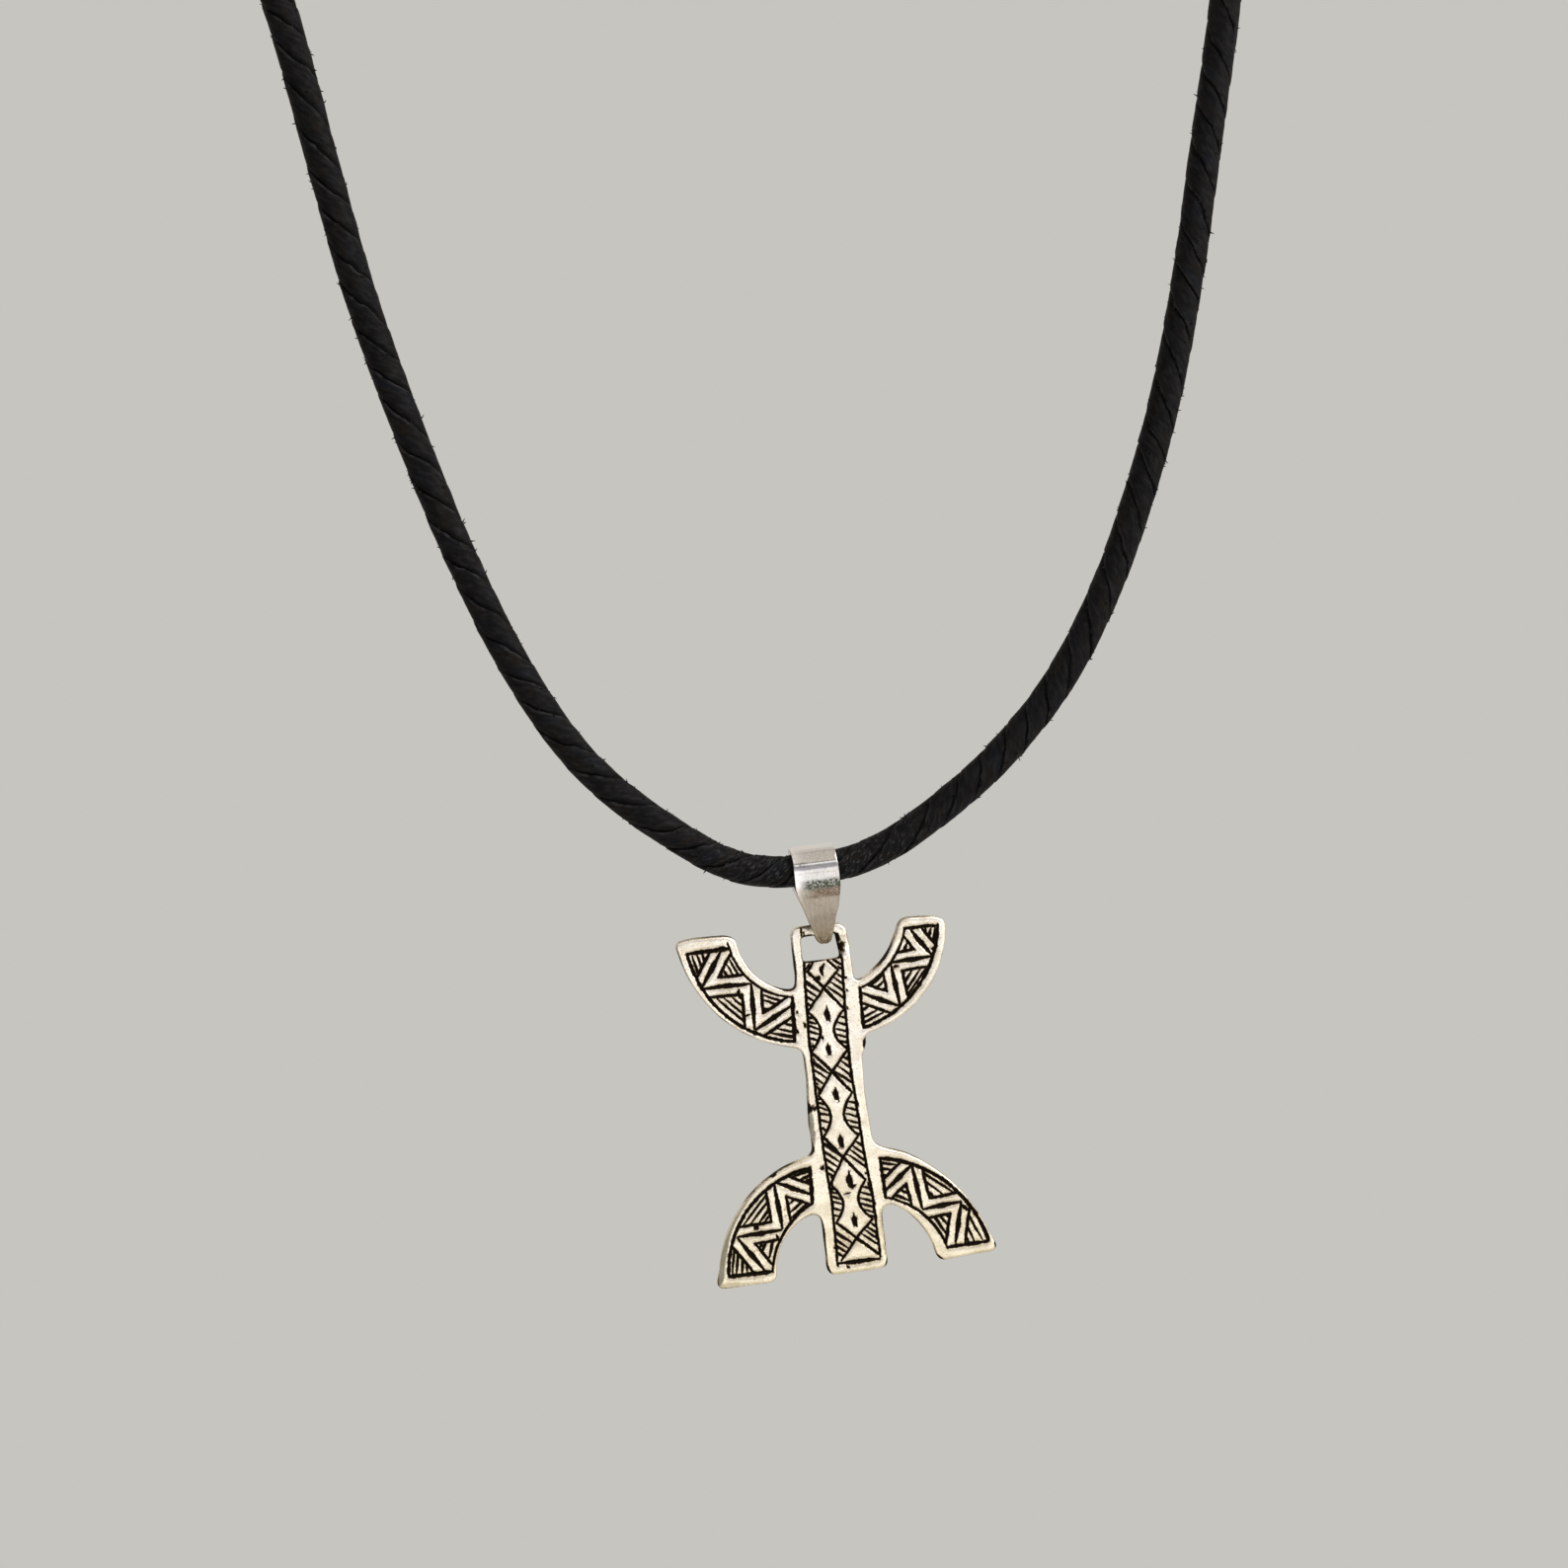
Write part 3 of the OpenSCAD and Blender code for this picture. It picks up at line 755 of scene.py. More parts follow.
def brushed_silver():
    """Silver sheet brushed along its length before it was folded, so it is satin with fine
    upright lines. A mottled grey and copper band across the front is partly a stain that
    soldering left and partly painted reflection; soldering also left a yellowish tone towards the tip."""
    material, tree, shader = start_material("brushed_silver_sheet", Metallic=1.0)
    place = add(tree, "ShaderNodeTexCoord").outputs["Object"]
    height = add(tree, "ShaderNodeSeparateXYZ", {"Vector": place}).outputs["Z"]

    # The brushed lines are too fine to show, so they are drawn 0.17 mm apart
    lines = add(tree, "ShaderNodeMapping", {"Vector": place, "Scale": (1, 0.12, 0.06)})
    brushed = add(tree, "ShaderNodeTexNoise",
                  {"Vector": lines, "Scale": 1 / (0.17 * MM), "Detail": 4.0})
    streaks = add(tree, "ShaderNodeMapRange", {"Value": brushed, "From Min": 0.35, "From Max": 0.7})

    # The barrel was rubbed bright and smooth over the cord, the tongue less so
    barrel = add(tree, "ShaderNodeMapRange", {
        "Value": height, "From Min": (bail_z - 3.0) * MM, "From Max": (bail_z - 1.3) * MM,
    })
    yellow = add(tree, "ShaderNodeMapRange", {
        "Value": height, "From Min": (bail_z - 4.2) * MM, "From Max": (bail_z - 6.6) * MM,
    })
    patchy = speckle(tree, place, 0.3 * MM, 0.35, 0.65)
    tip_tone = layered(tree, colour("#8f836e"), [(patchy, colour("#aa9e89"))])
    coats = [
        (streaks, colour("#bfb5a9")), (barrel, colour("#f1f0f2")), (yellow, tip_tone),
    ]
    # These stains are partly painted reflection of the room's bands
    for *where, code in STAINS_AND_REFLECTIONS:
        coats.append((stain_and_reflection(tree, place, *where), colour(code)))
    tone = layered(tree, colour("#d7cfc7"), coats)
    tree.links.new(tone.outputs[2], shader.inputs["Base Color"])
    dull = add(tree, "ShaderNodeMapRange", {"Value": barrel, "To Min": 0.33, "To Max": 0.11})
    tree.links.new(dull.outputs["Result"], shader.inputs["Roughness"])
    brushing = add(tree, "ShaderNodeMapRange", {"Value": barrel, "To Min": 0.25, "To Max": 0.03})
    scratched = add(tree, "ShaderNodeBump",
                    {"Height": brushed, "Strength": brushing, "Distance": 0.03 * MM})
    tree.links.new(scratched.outputs["Normal"], shader.inputs["Normal"])
    return material


bail = folded_bail()
bail.data.materials.append(brushed_silver())
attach(bail, "bail")
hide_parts("bail")


# Yaz pendant
# One plate of silver, cast about 1.1 mm thick and tumbled bright. Its lines were cut with
# a graver and small punches, and blackened, and some black is left on its edges; that black
# is partly painted shade on the walls and beside the bail. All the lengths of this section
# are in millimetres, with z = 0 on the axis of the bar.
plate_t = 1.1
front_round = 0.25
deepest_bevel = 0.5
back_round = 0.18
groove_depth = 0.2
# Spacing of the mesh: along the outline, then rings of points this far in from the edges of
# the front and of the back, and how far apart the points scattered between them are
outline_step = 0.14
front_rings = (0.04, 0.12, 0.24, 0.4)
front_spread = 0.25
back_rings = (0.05, 0.18)
back_spread = 0.5
# Beside each line the face dips, this far out and this deep, and the black reaches this far
shoulder = 0.28
shoulder_drop = 0.08
fringe = 0.12
# The zigzag band on each arm: between its edges, and the widths of its edges and middle line
band_w = 1.86
band_edge_w = 0.23
band_middle_w = 0.43
rng = random.Random(7)
# Without a seed of its own, the wobble of the lines would differ in each run
noise.seed_set(7)

# Each panel is a crescent between two circles. Columns: outer circle [x, z, r], inner
# circle [x, z, r], inner and outer end of the tip, inner and outer end of the root
PANELS = [
    [[-1.79, 0.83, 11.46], [-2.44, 0.5, 6.71], [-9.26, -0.7], [-13.06, -0.7],
     [-3.54, -6.2], [-3.75, -10.5]],
    [[0.92, 0.32, 10.52], [0.82, 1.1, 7.56], [8.4, -0.95], [11.35, -0.95],
     [3.13, -6.1], [3.04, -9.9]],
    [[-2.74, -32.75, 9.94], [-0.55, -33.61, 7.95], [-8.9, -32.35], [-12.6, -32.35],
     [-3.79, -26.4], [-3.68, -22.9]],
    [[0.85, -35.05, 12.45], [0.96, -34.57, 8.19], [9, -32.4], [12.95, -32.4],
     [3.44, -26.5], [3.26, -22.8]],
]
# Width of each panel's border: outer, inner, tip and root, and how far the inner one runs on
BORDERS = [
    [0.25, 0.18, 0.33, 0.28, 0.47], [0.25, 0.18, 0.24, 0.27, 0.02],
    [0.24, 0.2, 0.31, 0.28, 0.02], [0.29, 0.23, 0.3, 0.26, 0.12],
]
# Middle of the zigzag band on each arm, from the stem to the tip
ZIGZAGS = [
    [[-3.8, -7], [-7.48, -8.85], [-7.35, -4.3], [-12.15, -4.2], [-9.78, -0.65]],
    [[3.3, -6.62], [6.85, -8.35], [6.35, -4.02], [10.55, -3.92], [8.6, -1]],
    [[-3.75, -25.5], [-7.3, -23.75], [-6.98, -28.5], [-11.5, -28.6], [-9.05, -32.4]],
    [[3.45, -26.1], [6.25, -23.85], [6.85, -28.4], [10.7, -28.15], [9.7, -32.2]],
]
# Hatch lines in the five triangles beside each band, from the stem to the tip, each line by
# its share of the way from the triangle's corner to its base
HATCHES = [
    [[0.36, 0.62, 0.84], [0.2, 0.54, 0.76], [0.16, 0.38, 0.61, 0.83],
     [0.18, 0.37, 0.6, 0.8], [0.37, 0.6, 0.84]],
    [[0.28, 0.58, 0.82], [0.2, 0.54, 0.84], [0.14, 0.4, 0.7, 0.9], [0.24, 0.63], [0.3, 0.58, 0.88]],
    [[0.3, 0.54, 0.84], [0.34, 0.65, 0.89], [0.24, 0.42, 0.66, 0.89], [0.27, 0.43, 0.73],
     [0.32, 0.5, 0.7, 0.89]],
    [[0.2, 0.54, 0.8], [0.18, 0.46, 0.76], [0.18, 0.54, 0.86], [0.16, 0.44, 0.7], [0.2, 0.46, 0.76]],
]
# Width of such a line, by how many there are in its triangle
HATCH_W = {2: 0.24, 3: 0.18, 4: 0.15}
# Border lines down the left and the right of the stem
STEM_FRAME = [
    [[-2.02, -2.95], [-2.25, -7.5], [-2.36, -10.5], [-2.14, -21.8], [-1.9, -26.5], [-2.03, -32.7]],
    [[1.7, -2.95], [1.44, -8.5], [1.35, -13.4], [1.76, -22.3], [2.13, -26.5], [2.21, -32.4]],
]
# Where the chain of lozenges crosses itself, top to bottom
CROSSINGS = [[-0.38, -5.63], [-0.47, -13.81], [-0.35, -22.27], [0.09, -30.29]]
# Its widest places in between, top to bottom, each [left x, left z, right x, right z]
WIDEST = [
    [-1.78, -3.85, 1.22, -4.05], [-2.16, -7.75, 1.36, -7.9], [-2.28, -11.67, 1.27, -11.86],
    [-2.06, -16, 1.25, -16.1], [-2, -20.1, 1.38, -20.35], [-1.85, -24.75, 1.6, -24.72],
    [-1.68, -28.55, 1.85, -28.65], [-1.62, -32.3, 2.15, -32.2],
]
# Its narrowest places, each [left x, right x, how far down its hatching is moved, left and right]
WAISTS = [[-1.13, 0.14, 0.24, 0.15], [-1.07, 0.22, -0.1, 0.2], [-0.82, 0.71, 0.04, 0.1]]
# Where that hatching starts, in twelfths of the way down a hollow
WAIST_HATCHES = [1.6, 3.2, 4.8, 6.5, 8.3, 10.2]
# The punched drops, two in each link of the chain, each [x, z, size]
DROPS = [
    [-0.32, -8.25, 1.05], [-0.57, -11.65, 0.88], [-0.32, -16.09, 1], [-0.38, -20.69, 1.05],
    [0.05, -24.67, 1.25], [0.09, -28.57, 1],
]
# Heights at which the hatching beside each crossing leaves the border, on the left and right
HATCH_STARTS = [
    [[-4.78, -5.48, -6.18, -6.83], [-4.93, -5.53, -6.18, -6.88]],
    [[-12.6, -13.35, -14.1, -14.95], [-12.97, -13.72, -14.47, -15.22]],
    [[-20.63, -21.43, -22.13, -22.93, -23.53], [-21.5, -22.2, -22.9, -23.6]],
    [[-29.4, -30.1, -30.75, -31.4], [-29.5, -30.1, -30.7, -31.3]],
]
hatch_slope = 0.88
waist_hatch_slope = 0.42
# Small marks of the punch, each a stroke [x, z, length in x, length in z, width]
MARKS = [
    [-0.86, -4.66, 0.12, 0.04, 0.36], [-1.04, -10.32, 0, -0.2, 0.2], [-2.6, -8.85, 0, -0.3, 0.18],
    [-3.2, -7.55, 0, -0.2, 0.14], [-3.42, -9.4, 0.12, -0.25, 0.16], [1.7, -4.9, 0.22, 0, 0.2],
    [-9.5, -27.9, 0, -0.14, 0.32], [-7.6, -29, 0.1, -0.25, 0.2], [-2.5, -23, 0.05, -0.15, 0.3],
    [-8.6, -4.85, -0.1, -0.35, 0.26], [-8.15, -7.3, 0.3, 0.05, 0.12],
    [10.85, -28.6, 0.3, -0.35, 0.3], [10.6, -3.15, 0.1, 0, 0.16], [6.75, -4.45, 0.15, 0, 0.2],
    [-1.95, 0.4, 0.03, -0.8, 0.1], [-1.72, -0.05, 0.02, -0.35, 0.1], [-1.1, -32.95, 0.1, -0.1, 0.2],
    [0.5, -25.15, -0.15, -0.1, 0.14], [-0.45, -25.85, 0.35, 0.05, 0.08],
]
stray_marks = 26
# Where the outline was filed in or left full: [x, z, reach, move in x, move in z]
FILED = [
    [-3.1, -5.6, 0.9, 0.25, -0.25], [3.1, -5.5, 1.3, -0.55, -0.5], [1.6, -0.9, 1.4, -0.3, 0],
    [1.6, -2.2, 1, -0.12, 0], [2.9, -11.5, 1.1, 0.6, 0], [2.75, -16.5, 6, -0.28, 0],
    [4, -21.7, 2.2, -0.1, -0.16], [-2.8, -18.7, 4, -0.26, 0], [7.6, 0.25, 0.9, 0.1, -0.12],
    [11.9, -0.05, 1, -0.17, -0.17], [-13.97, 0.75, 0.7, 0.05, -0.1], [-13.2, 0.95, 0.9, 0, -0.14],
    [-14.1, 0.2, 1, -0.1, 0], [-8.5, 0.6, 0.9, -0.1, -0.12], [-13.5, -33.1, 1.6, -0.25, -0.1],
    [13.4, -32.9, 1.6, 0.3, -0.1], [2.43, 0.3, 0.9, -0.2, -0.2],
]
# Where the front edge slopes more widely, and flat, not rounded: [x, z, reach, extra width]
BEVELS = [
    [1.6, -1.7, 1.8, 0.45], [-3, -18.8, 2.8, 0.35], [-11.6, -27.5, 5.5, 0.16],
    [-13.2, -31.5, 4, 0.35], [-1.3, 0.2, 1.2, 0.15], [2.9, -30.5, 3.5, 0.4],
    [4.8, -4, 3.2, 0.12], [2.75, -11.4, 0.9, 0.3],
]
# Where the edge kept more black, partly tarnish and partly painted shade on walls in shadow
# beside the stem, its foot and the hole, or less where it is negative: [x, z, reach, amount]
TARNISH_AND_SHADE = [
    [1.35, -0.8, 0.8, 1.4], [1.5, -1.8, 0.45, 1.4], [1.6, -2.8, 0.5, 0.4], [-1.4, -0.5, 1.1, 0.6],
    [-1, 0.5, 0.6, 0.1], [3.3, -11.5, 0.9, 1.5], [-2.9, -17.1, 0.8, 1], [-7.3, -23, 0.5, 1.2],
    [-3.3, -21.2, 0.8, 0.6], [-3.1, -19.5, 2.2, 0.1], [-3.1, -29.5, 3.2, 0.5],
    [13.7, -32.8, 0.5, 1], [8.1, -33.3, 0.6, 0.9], [-2.9, -33, 1, 0.7], [2.8, -33.1, 0.6, 0.9],
    [-12, -28, 5, -0.5], [-3, -3, 3.5, 0.5], [5.5, -3.5, 3, 0.4], [-4, -5.4, 1.5, 0.5],
]
# Dark patches of the face: grime left in the cast skin, and painted contact shadow beside the
# bail's tongue in the hole: [x, z, reach, amount]
GRIME_AND_SHADOW = [
    [-1.2, 0.2, 0.8, 0.32], [1.45, -1, 0.5, 1.1], [1.9, -1.6, 0.55, 1.1], [1.8, -2.2, 0.45, 1.1],
    [1.55, -2.8, 0.4, 1], [3.1, -28.6, 0.8, 0.3], [3.1, -30.2, 0.8, 0.36], [3.1, -31.8, 0.8, 0.3],
    [-2.6, -17.1, 0.5, 1.2],
]
strokes = []


def flat(*rows):
    """Points of a table as vectors."""
    return [Vector(row) for row in rows]


def spaced(points, step, closed=False):
    """The line through the points with a point at every step of its length."""
    line = points + points[:1] if closed else points
    runs = np.cumsum([0] + [(b - a).length for a, b in zip(line, line[1:])])
    count = max(2, round(runs[-1] / step))
    stops = np.linspace(0, runs[-1], count + 1)
    xs = np.interp(stops, runs, [p.x for p in line])
    zs = np.interp(stops, runs, [p.y for p in line])
    made = [Vector(pair) for pair in zip(xs, zs)]
    return made[:-1] if closed else made


def cut_line(points, width, depth=groove_depth, punched=0.0, ends=(0.5, 0.5), taper=0.5, step=0.16):
    """One line of the graver: its middle, half its width and its depth at each point. punched
    makes it jagged, as a row of punch marks. ends gives how wide each end still is, and taper
    how long the graver takes from there to the full width."""
    middle = spaced(points, step)
    last = len(middle) - 1
    for k, spot in enumerate(middle):
        spot += 0.05 * noise.noise_vector(Vector((k * step / 0.8, len(strokes), 1.5))).to_2d()
    reach = max(1, min(last / 2, taper / step))
    halves, depths = [], []
    for k in range(len(middle)):
        rise = min(1, k / reach)
        fall = min(1, (last - k) / reach)
        full = min(ends[0] + (1 - ends[0]) * rise, ends[1] + (1 - ends[1]) * fall)
        notch = noise.noise(Vector((k * step / 0.3, len(strokes), 5.5)))
        jag = 1.07 + 1.8 * punched * notch + 0.1 * rng.uniform(-1, 1)
        halves.append(width / 2 * full * jag)
        depths.append(depth * (0.45 + 0.55 * full) * (1 - 0.3 * rng.random()))
    strokes.append((middle, halves, depths))


def on_circle(circle, near):
    """The point of a circle nearest to a given point."""
    centre = Vector(circle[:2])
    return centre + (near - centre).normalized() * circle[2]


def arc_between(circle, first, last):
    """Points of the arc of a circle from one point to another, the short way round."""
    centre = Vector(circle[:2])
    a, b = first - centre, last - centre
    turn = -a.angle_signed(b)
    count = max(2, round(abs(turn) * circle[2] / 0.5))
    start = math.atan2(a.y, a.x)
    angles = [start + turn * k / count for k in range(count + 1)]
    return [centre + circle[2] * Vector((math.cos(t), math.sin(t))) for t in angles]


def inside(point, panel):
    """True between the two circles of a panel and within its tip and its root."""
    outer, inner, tip_in, tip_out, root_in, root_out = panel
    if (point - Vector(outer[:2])).length > outer[2] or (point - Vector(inner[:2])).length < inner[2]:
        return False
    away = 1 if tip_out[1] > root_out[1] else -1
    if away * (point.y - tip_out[1]) > 0:
        return False
    share = (point.y - root_in[1]) / (root_out[1] - root_in[1])
    root_x = root_in[0] + share * (root_out[0] - root_in[0])
    return abs(point.x) > abs(root_x)


def trimmed(first, last, panel):
    """The part of a straight line that lies inside the panel, or None."""
    kept = [first.lerp(last, k / 200) for k in range(201)]
    kept = [p for p in kept if inside(p, panel)]
    return (kept[0], kept[-1]) if len(kept) > 4 else None


def beside(points, distance):
    """The line that runs beside a row of points, at this distance to its left, mitred."""
    ways = [(b - a).normalized() for a, b in zip(points, points[1:])]
    lefts = [Vector((-way.y, way.x)) for way in ways]
    made = [points[0] + lefts[0] * distance - ways[0] * 2]
    for point, before, after in zip(points[1:-1], lefts, lefts[1:]):
        made.append(point + (before + after) * distance / (1 + before.dot(after)))
    made.append(points[-1] + lefts[-1] * distance + ways[-1] * 2)
    return made


def shaken(point, size=0.05):
    """A point moved a little, as by an unsteady hand."""
    return point + Vector((rng.uniform(-size, size), rng.uniform(-size, size)))


def hatched(corner, base_first, base_last, shares):
    """Lines side by side in a triangle, parallel to its base, each at its share of the way
    there from the corner."""
    for share in shares:
        first, last = corner.lerp(base_first, share), corner.lerp(base_last, share)
        trim = 0.12 / max(0.3, (last - first).length)
        start = shaken(first.lerp(last, trim))
        end = shaken(last.lerp(first, trim * rng.uniform(0.5, 2)))
        cut_line([start, end], HATCH_W[len(shares)] * rng.uniform(0.8, 1.4),
                 depth=0.15, ends=(1, 0.25), taper=1.2, step=0.2)


def engrave_arm(panel, border, zigzag, hatches):
    """Border, zigzag band and hatching of one arm."""
    outer, inner, tip_in, tip_out, root_in, root_out = panel
    tip_in, tip_out, root_in, root_out = flat(tip_in, tip_out, root_in, root_out)
    tip_in, root_in = on_circle(inner, tip_in), on_circle(inner, root_in)
    tip_out, root_out = on_circle(outer, tip_out), on_circle(outer, root_out)
    outer_w, inner_w, tip_w, root_w, overrun = border
    cut_line(arc_between(outer, root_out, tip_out), outer_w, punched=0.3, ends=(0.8, 0.6))
    inner_line = arc_between(inner, root_in, tip_in)
    inner_line.append(tip_in + (tip_in - inner_line[-2]).normalized() * overrun)
    cut_line(inner_line, inner_w, punched=0.2, ends=(0.5, 0.6), taper=3)
    cut_line([tip_in, tip_out], tip_w, punched=0.4, ends=(0.6, 0.6))
    cut_line([root_in, root_out], root_w, punched=0.3, ends=(0.7, 0.7))

    middle = flat(*zigzag)
    edges, spans = {}, {}
    for side in (1, -1):
        edges[side] = beside(middle, side * band_w / 2)
        for k, (first, last) in enumerate(zip(edges[side], edges[side][1:])):
            span = trimmed(first, last, panel)
            if span:
                spans[side, k] = span
                cut_line([shaken(span[0], 0.03), shaken(span[1], 0.03)], band_edge_w,
                         depth=0.17, punched=0.14, ends=(0.7, 0.5), taper=0.9)
    for first, last in zip(middle, middle[1:]):
        span = trimmed(first, last, panel)
        if span:
            cut_line([span[0].lerp(span[1], 0.03), span[1].lerp(span[0], 0.03)], band_middle_w,
                     punched=0.14, ends=(0.3, 0.3), taper=3)

    # Five triangles, corner first: by the stem, one in each of the three bends, at the tip
    centre = Vector(outer[:2])
    outer_side = max((1, -1), key=lambda side: (edges[side][2] - centre).length)
    start, end = spans[outer_side, 0], spans[outer_side, 3]
    hatched(start[0], root_out, start[1], hatches[0])
    for k, side in ((1, -outer_side), (2, outer_side), (3, -outer_side)):
        hatched(edges[side][k], spans[side, k - 1][0], spans[side, k][1], hatches[k])
    hatched(end[1], end[0], tip_out, hatches[4])


def frame_x(side, z):
    """Place across the stem of its left (0) or right (1) border line at a height."""
    rows = STEM_FRAME[side][::-1]
    return float(np.interp(z, [row[1] for row in rows], [row[0] for row in rows]))


def hatched_from_frame(side, z, way, edges, width):
    """A line that slopes down from the stem's border, or up where way is -1, until it meets
    one of the edges."""
    start = Vector((frame_x(side, z), z))
    far = start + Vector((4, -4 * hatch_slope)) * way
    met = [intersect_line_line_2d(start, far, *edge) for edge in edges]
    met = [point for point in met if point]
    if met:
        end = min(met, key=lambda point: (point - start).length)
        cut_line([start.lerp(end, 0.06), shaken(end.lerp(start, 0.08))], width * rng.uniform(0.8, 1.2),
                 depth=0.14, ends=(0.9, 0.35), taper=0.8, step=0.2)


def engrave_waist(widest, waist_x, moved_down, side, steps=12):
    """One side of a waist: the hollow line between two widest places, and its hatching."""
    first, last = widest
    bow = waist_x - (first.x + last.x) / 2
    hollow = [
        first.lerp(last, t / steps) + Vector((bow * math.sin(math.pi * t / steps), 0))
        for t in range(steps + 1)
    ]
    cut_line(hollow, 0.18, punched=0.15, ends=(0.6, 0.6), taper=1.2)
    for line in WAIST_HATCHES:
        near = hollow[int(line)].lerp(hollow[int(line) + 1], line % 1)
        near.y -= moved_down
        away = frame_x(side, near.y) - near.x
        far = near + Vector((away, -waist_hatch_slope * away))
        cut_line([far.lerp(near, 0.1), shaken(near.lerp(far, 0.12))], 0.15 * rng.uniform(0.8, 1.3),
                 depth=0.14, ends=(0.9, 0.4), taper=0.8, step=0.2)


def engrave_stem():
    """Frame, chain of lozenges and hatching down the stem."""
    for line in STEM_FRAME:
        cut_line(flat(*line), 0.17, punched=0.22, ends=(0.8, 0.6))
    foot = flat([-1.9, -32.52], [0.1, -32.6], [2.05, -32.6])
    cut_line(foot, 0.36, punched=0.35, ends=(0.3, 0.3), taper=1.5)
    lefts = [Vector(row[:2]) for row in WIDEST]
    rights = [Vector(row[2:]) for row in WIDEST]
    for k, crossing in enumerate(flat(*CROSSINGS)):
        upper_left, upper_right = lefts[2 * k], rights[2 * k]
        lower_left, lower_right = lefts[2 * k + 1], rights[2 * k + 1]
        cut_line([upper_left, crossing, lower_right], 0.22, punched=0.15, ends=(0.8, 0.5))
        cut_line([upper_right, crossing, lower_left], 0.17, punched=0.12, ends=(0.8, 0.6))
        left_edges = (upper_left, crossing), (crossing, lower_left)
        right_edges = (lower_right, crossing), (crossing, upper_right)
        for line, z in enumerate(HATCH_STARTS[k][0]):
            hatched_from_frame(0, z, 1, left_edges, 0.17 if line else 0.27)
        for z in HATCH_STARTS[k][1]:
            hatched_from_frame(1, z, -1, right_edges, 0.17)
    for k, (left_x, right_x, left_down, right_down) in enumerate(WAISTS):
        engrave_waist(lefts[2 * k + 1 : 2 * k + 3], left_x, left_down, 0)
        engrave_waist(rights[2 * k + 1 : 2 * k + 3], right_x, right_down, 1)
    for x, z, size in DROPS:
        place = Vector((x, z))
        drop = [place + size * Vector(step) for step in ((0, 0.62), (-0.03, 0.1), (0.03, -0.35))]
        cut_line(drop, 0.46 * size, depth=0.22, ends=(0.12, 0.75), taper=0.6, step=0.12)
        tail = place + size * Vector((0.1, -0.3))
        cut_line([tail, tail + Vector((0.06, -0.32))], 0.15, ends=(1, 0.3), step=0.1)

    # The first lozenge is cut off by the hole, with a comma in it and two lines beside it
    cut_line([lefts[0], Vector((-1.15, -3.05))], 0.17, ends=(0.8, 0.8))
    cut_line([rights[0], Vector((0.32, -3))], 0.2, ends=(0.5, 0.9), taper=0.9)
    cut_line(flat([1.6, -3.62], [0.85, -3.02]), 0.2, ends=(0.6, 0.9))
    cut_line(flat([1.58, -4.05], [1.25, -3.75]), 0.14, ends=(0.6, 0.6))
    cut_line(flat([-1.9, -3.6], [-1.5, -3.1]), 0.13, ends=(0.6, 0.6))
    cut_line(flat([-0.1, -3.31], [-0.43, -3.79], [-0.36, -4.39]), 0.3, ends=(0.3, 0.3), step=0.12)


for arm in zip(PANELS, BORDERS, ZIGZAGS, HATCHES):
    engrave_arm(*arm)
engrave_stem()
for x, z, long_x, long_z, mark_w in MARKS:
    cut_line([Vector((x, z)), Vector((x + long_x, z + long_z))], mark_w, punched=0.2,
             ends=(0.7, 0.7), step=0.1)
for _ in range(stray_marks):
    side = rng.randrange(2)
    z = rng.uniform(-32, -4)
    x = frame_x(side, z) + rng.choice((-1, 1)) * rng.uniform(0.12, 0.32)
    cut_line([Vector((x, z)), Vector((x + rng.uniform(-0.05, 0.1), z - rng.uniform(0.1, 0.4)))],
             rng.uniform(0.06, 0.13), depth=0.1, ends=(0.5, 0.5), step=0.1)


def plate_loops():
    """Outline of the plate and of its hole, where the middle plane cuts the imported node."""
    cut = bmesh.new()
    cut.from_mesh(frame["nodes"]["yaz_pendant"].data)
    bmesh.ops.remove_doubles(cut, verts=cut.verts, dist=0.001 * MM)
    found = bmesh.ops.bisect_plane(
        cut, geom=cut.verts[:] + cut.edges[:] + cut.faces[:], plane_co=(0, 0, 0), plane_no=(0, 1, 0)
    )["geom_cut"]
    left = [edge for edge in found if isinstance(edge, bmesh.types.BMEdge)]
    loops = []
    while left:
        edge = left.pop()
        first, at = edge.verts
        loop = [first]
        while at is not first:
            loop.append(at)
            edge = next(e for e in at.link_edges if e in left)
            left.remove(edge)
            at = edge.other_vert(at)
        loops.append([Vector((v.co.x / MM, v.co.z / MM - hinge_z)) for v in loop])
    cut.free()
    return sorted(loops, key=len, reverse=True)


def softened(loop, rounds):
    """A closed line with its corners and facets eased."""
    for _ in range(rounds):
        loop = [(a + 2 * b + c) / 4 for a, b, c in zip(loop[-1:] + loop, loop, loop[1:] + loop[:1])]
    return loop


def area(loop):
    """Signed area within a closed line, positive where it runs anticlockwise."""
    return sum(a.cross(b) for a, b in zip(loop, loop[1:] + loop[:1])) / 2


def inset(loop, distance):
    """The closed line moved to its left by a distance."""
    made = []
    for before, point, after in zip(loop[-1:] + loop, loop, loop[1:] + loop[:1]):
        way = (after - before).normalized()
        made.append(point + Vector((-way.y, way.x)) * distance)
    return made


def distances(points, loop, reach):
    """Distance of each point from the closed line, up to the reach."""
    starts = np.array(loop)
    spans = np.roll(starts, -1, axis=0) - starts
    found = np.full(len(points), reach)
    for start, span in zip(starts, spans):
        near = np.flatnonzero(np.abs(points - start).max(axis=1) < reach + 0.3)
        if len(near):
            t = np.clip((points[near] - start) @ span / (span @ span), 0, 1)
            away = np.linalg.norm(points[near] - start - t[:, None] * span, axis=1)
            found[near] = np.minimum(found[near], away)
    return found


def around_places(points, rows):
    """The amounts of a table's places [x, z, reach, amount] added up at each point: each is
    full at its place and fades to nothing at its reach."""
    total = np.zeros(len(points))
    for x, z, reach, amount in rows:
        near = np.clip(1 - np.linalg.norm(points - (x, z), axis=1) / reach, 0, 1)
        total += amount * near * near * (3 - 2 * near)
    return total


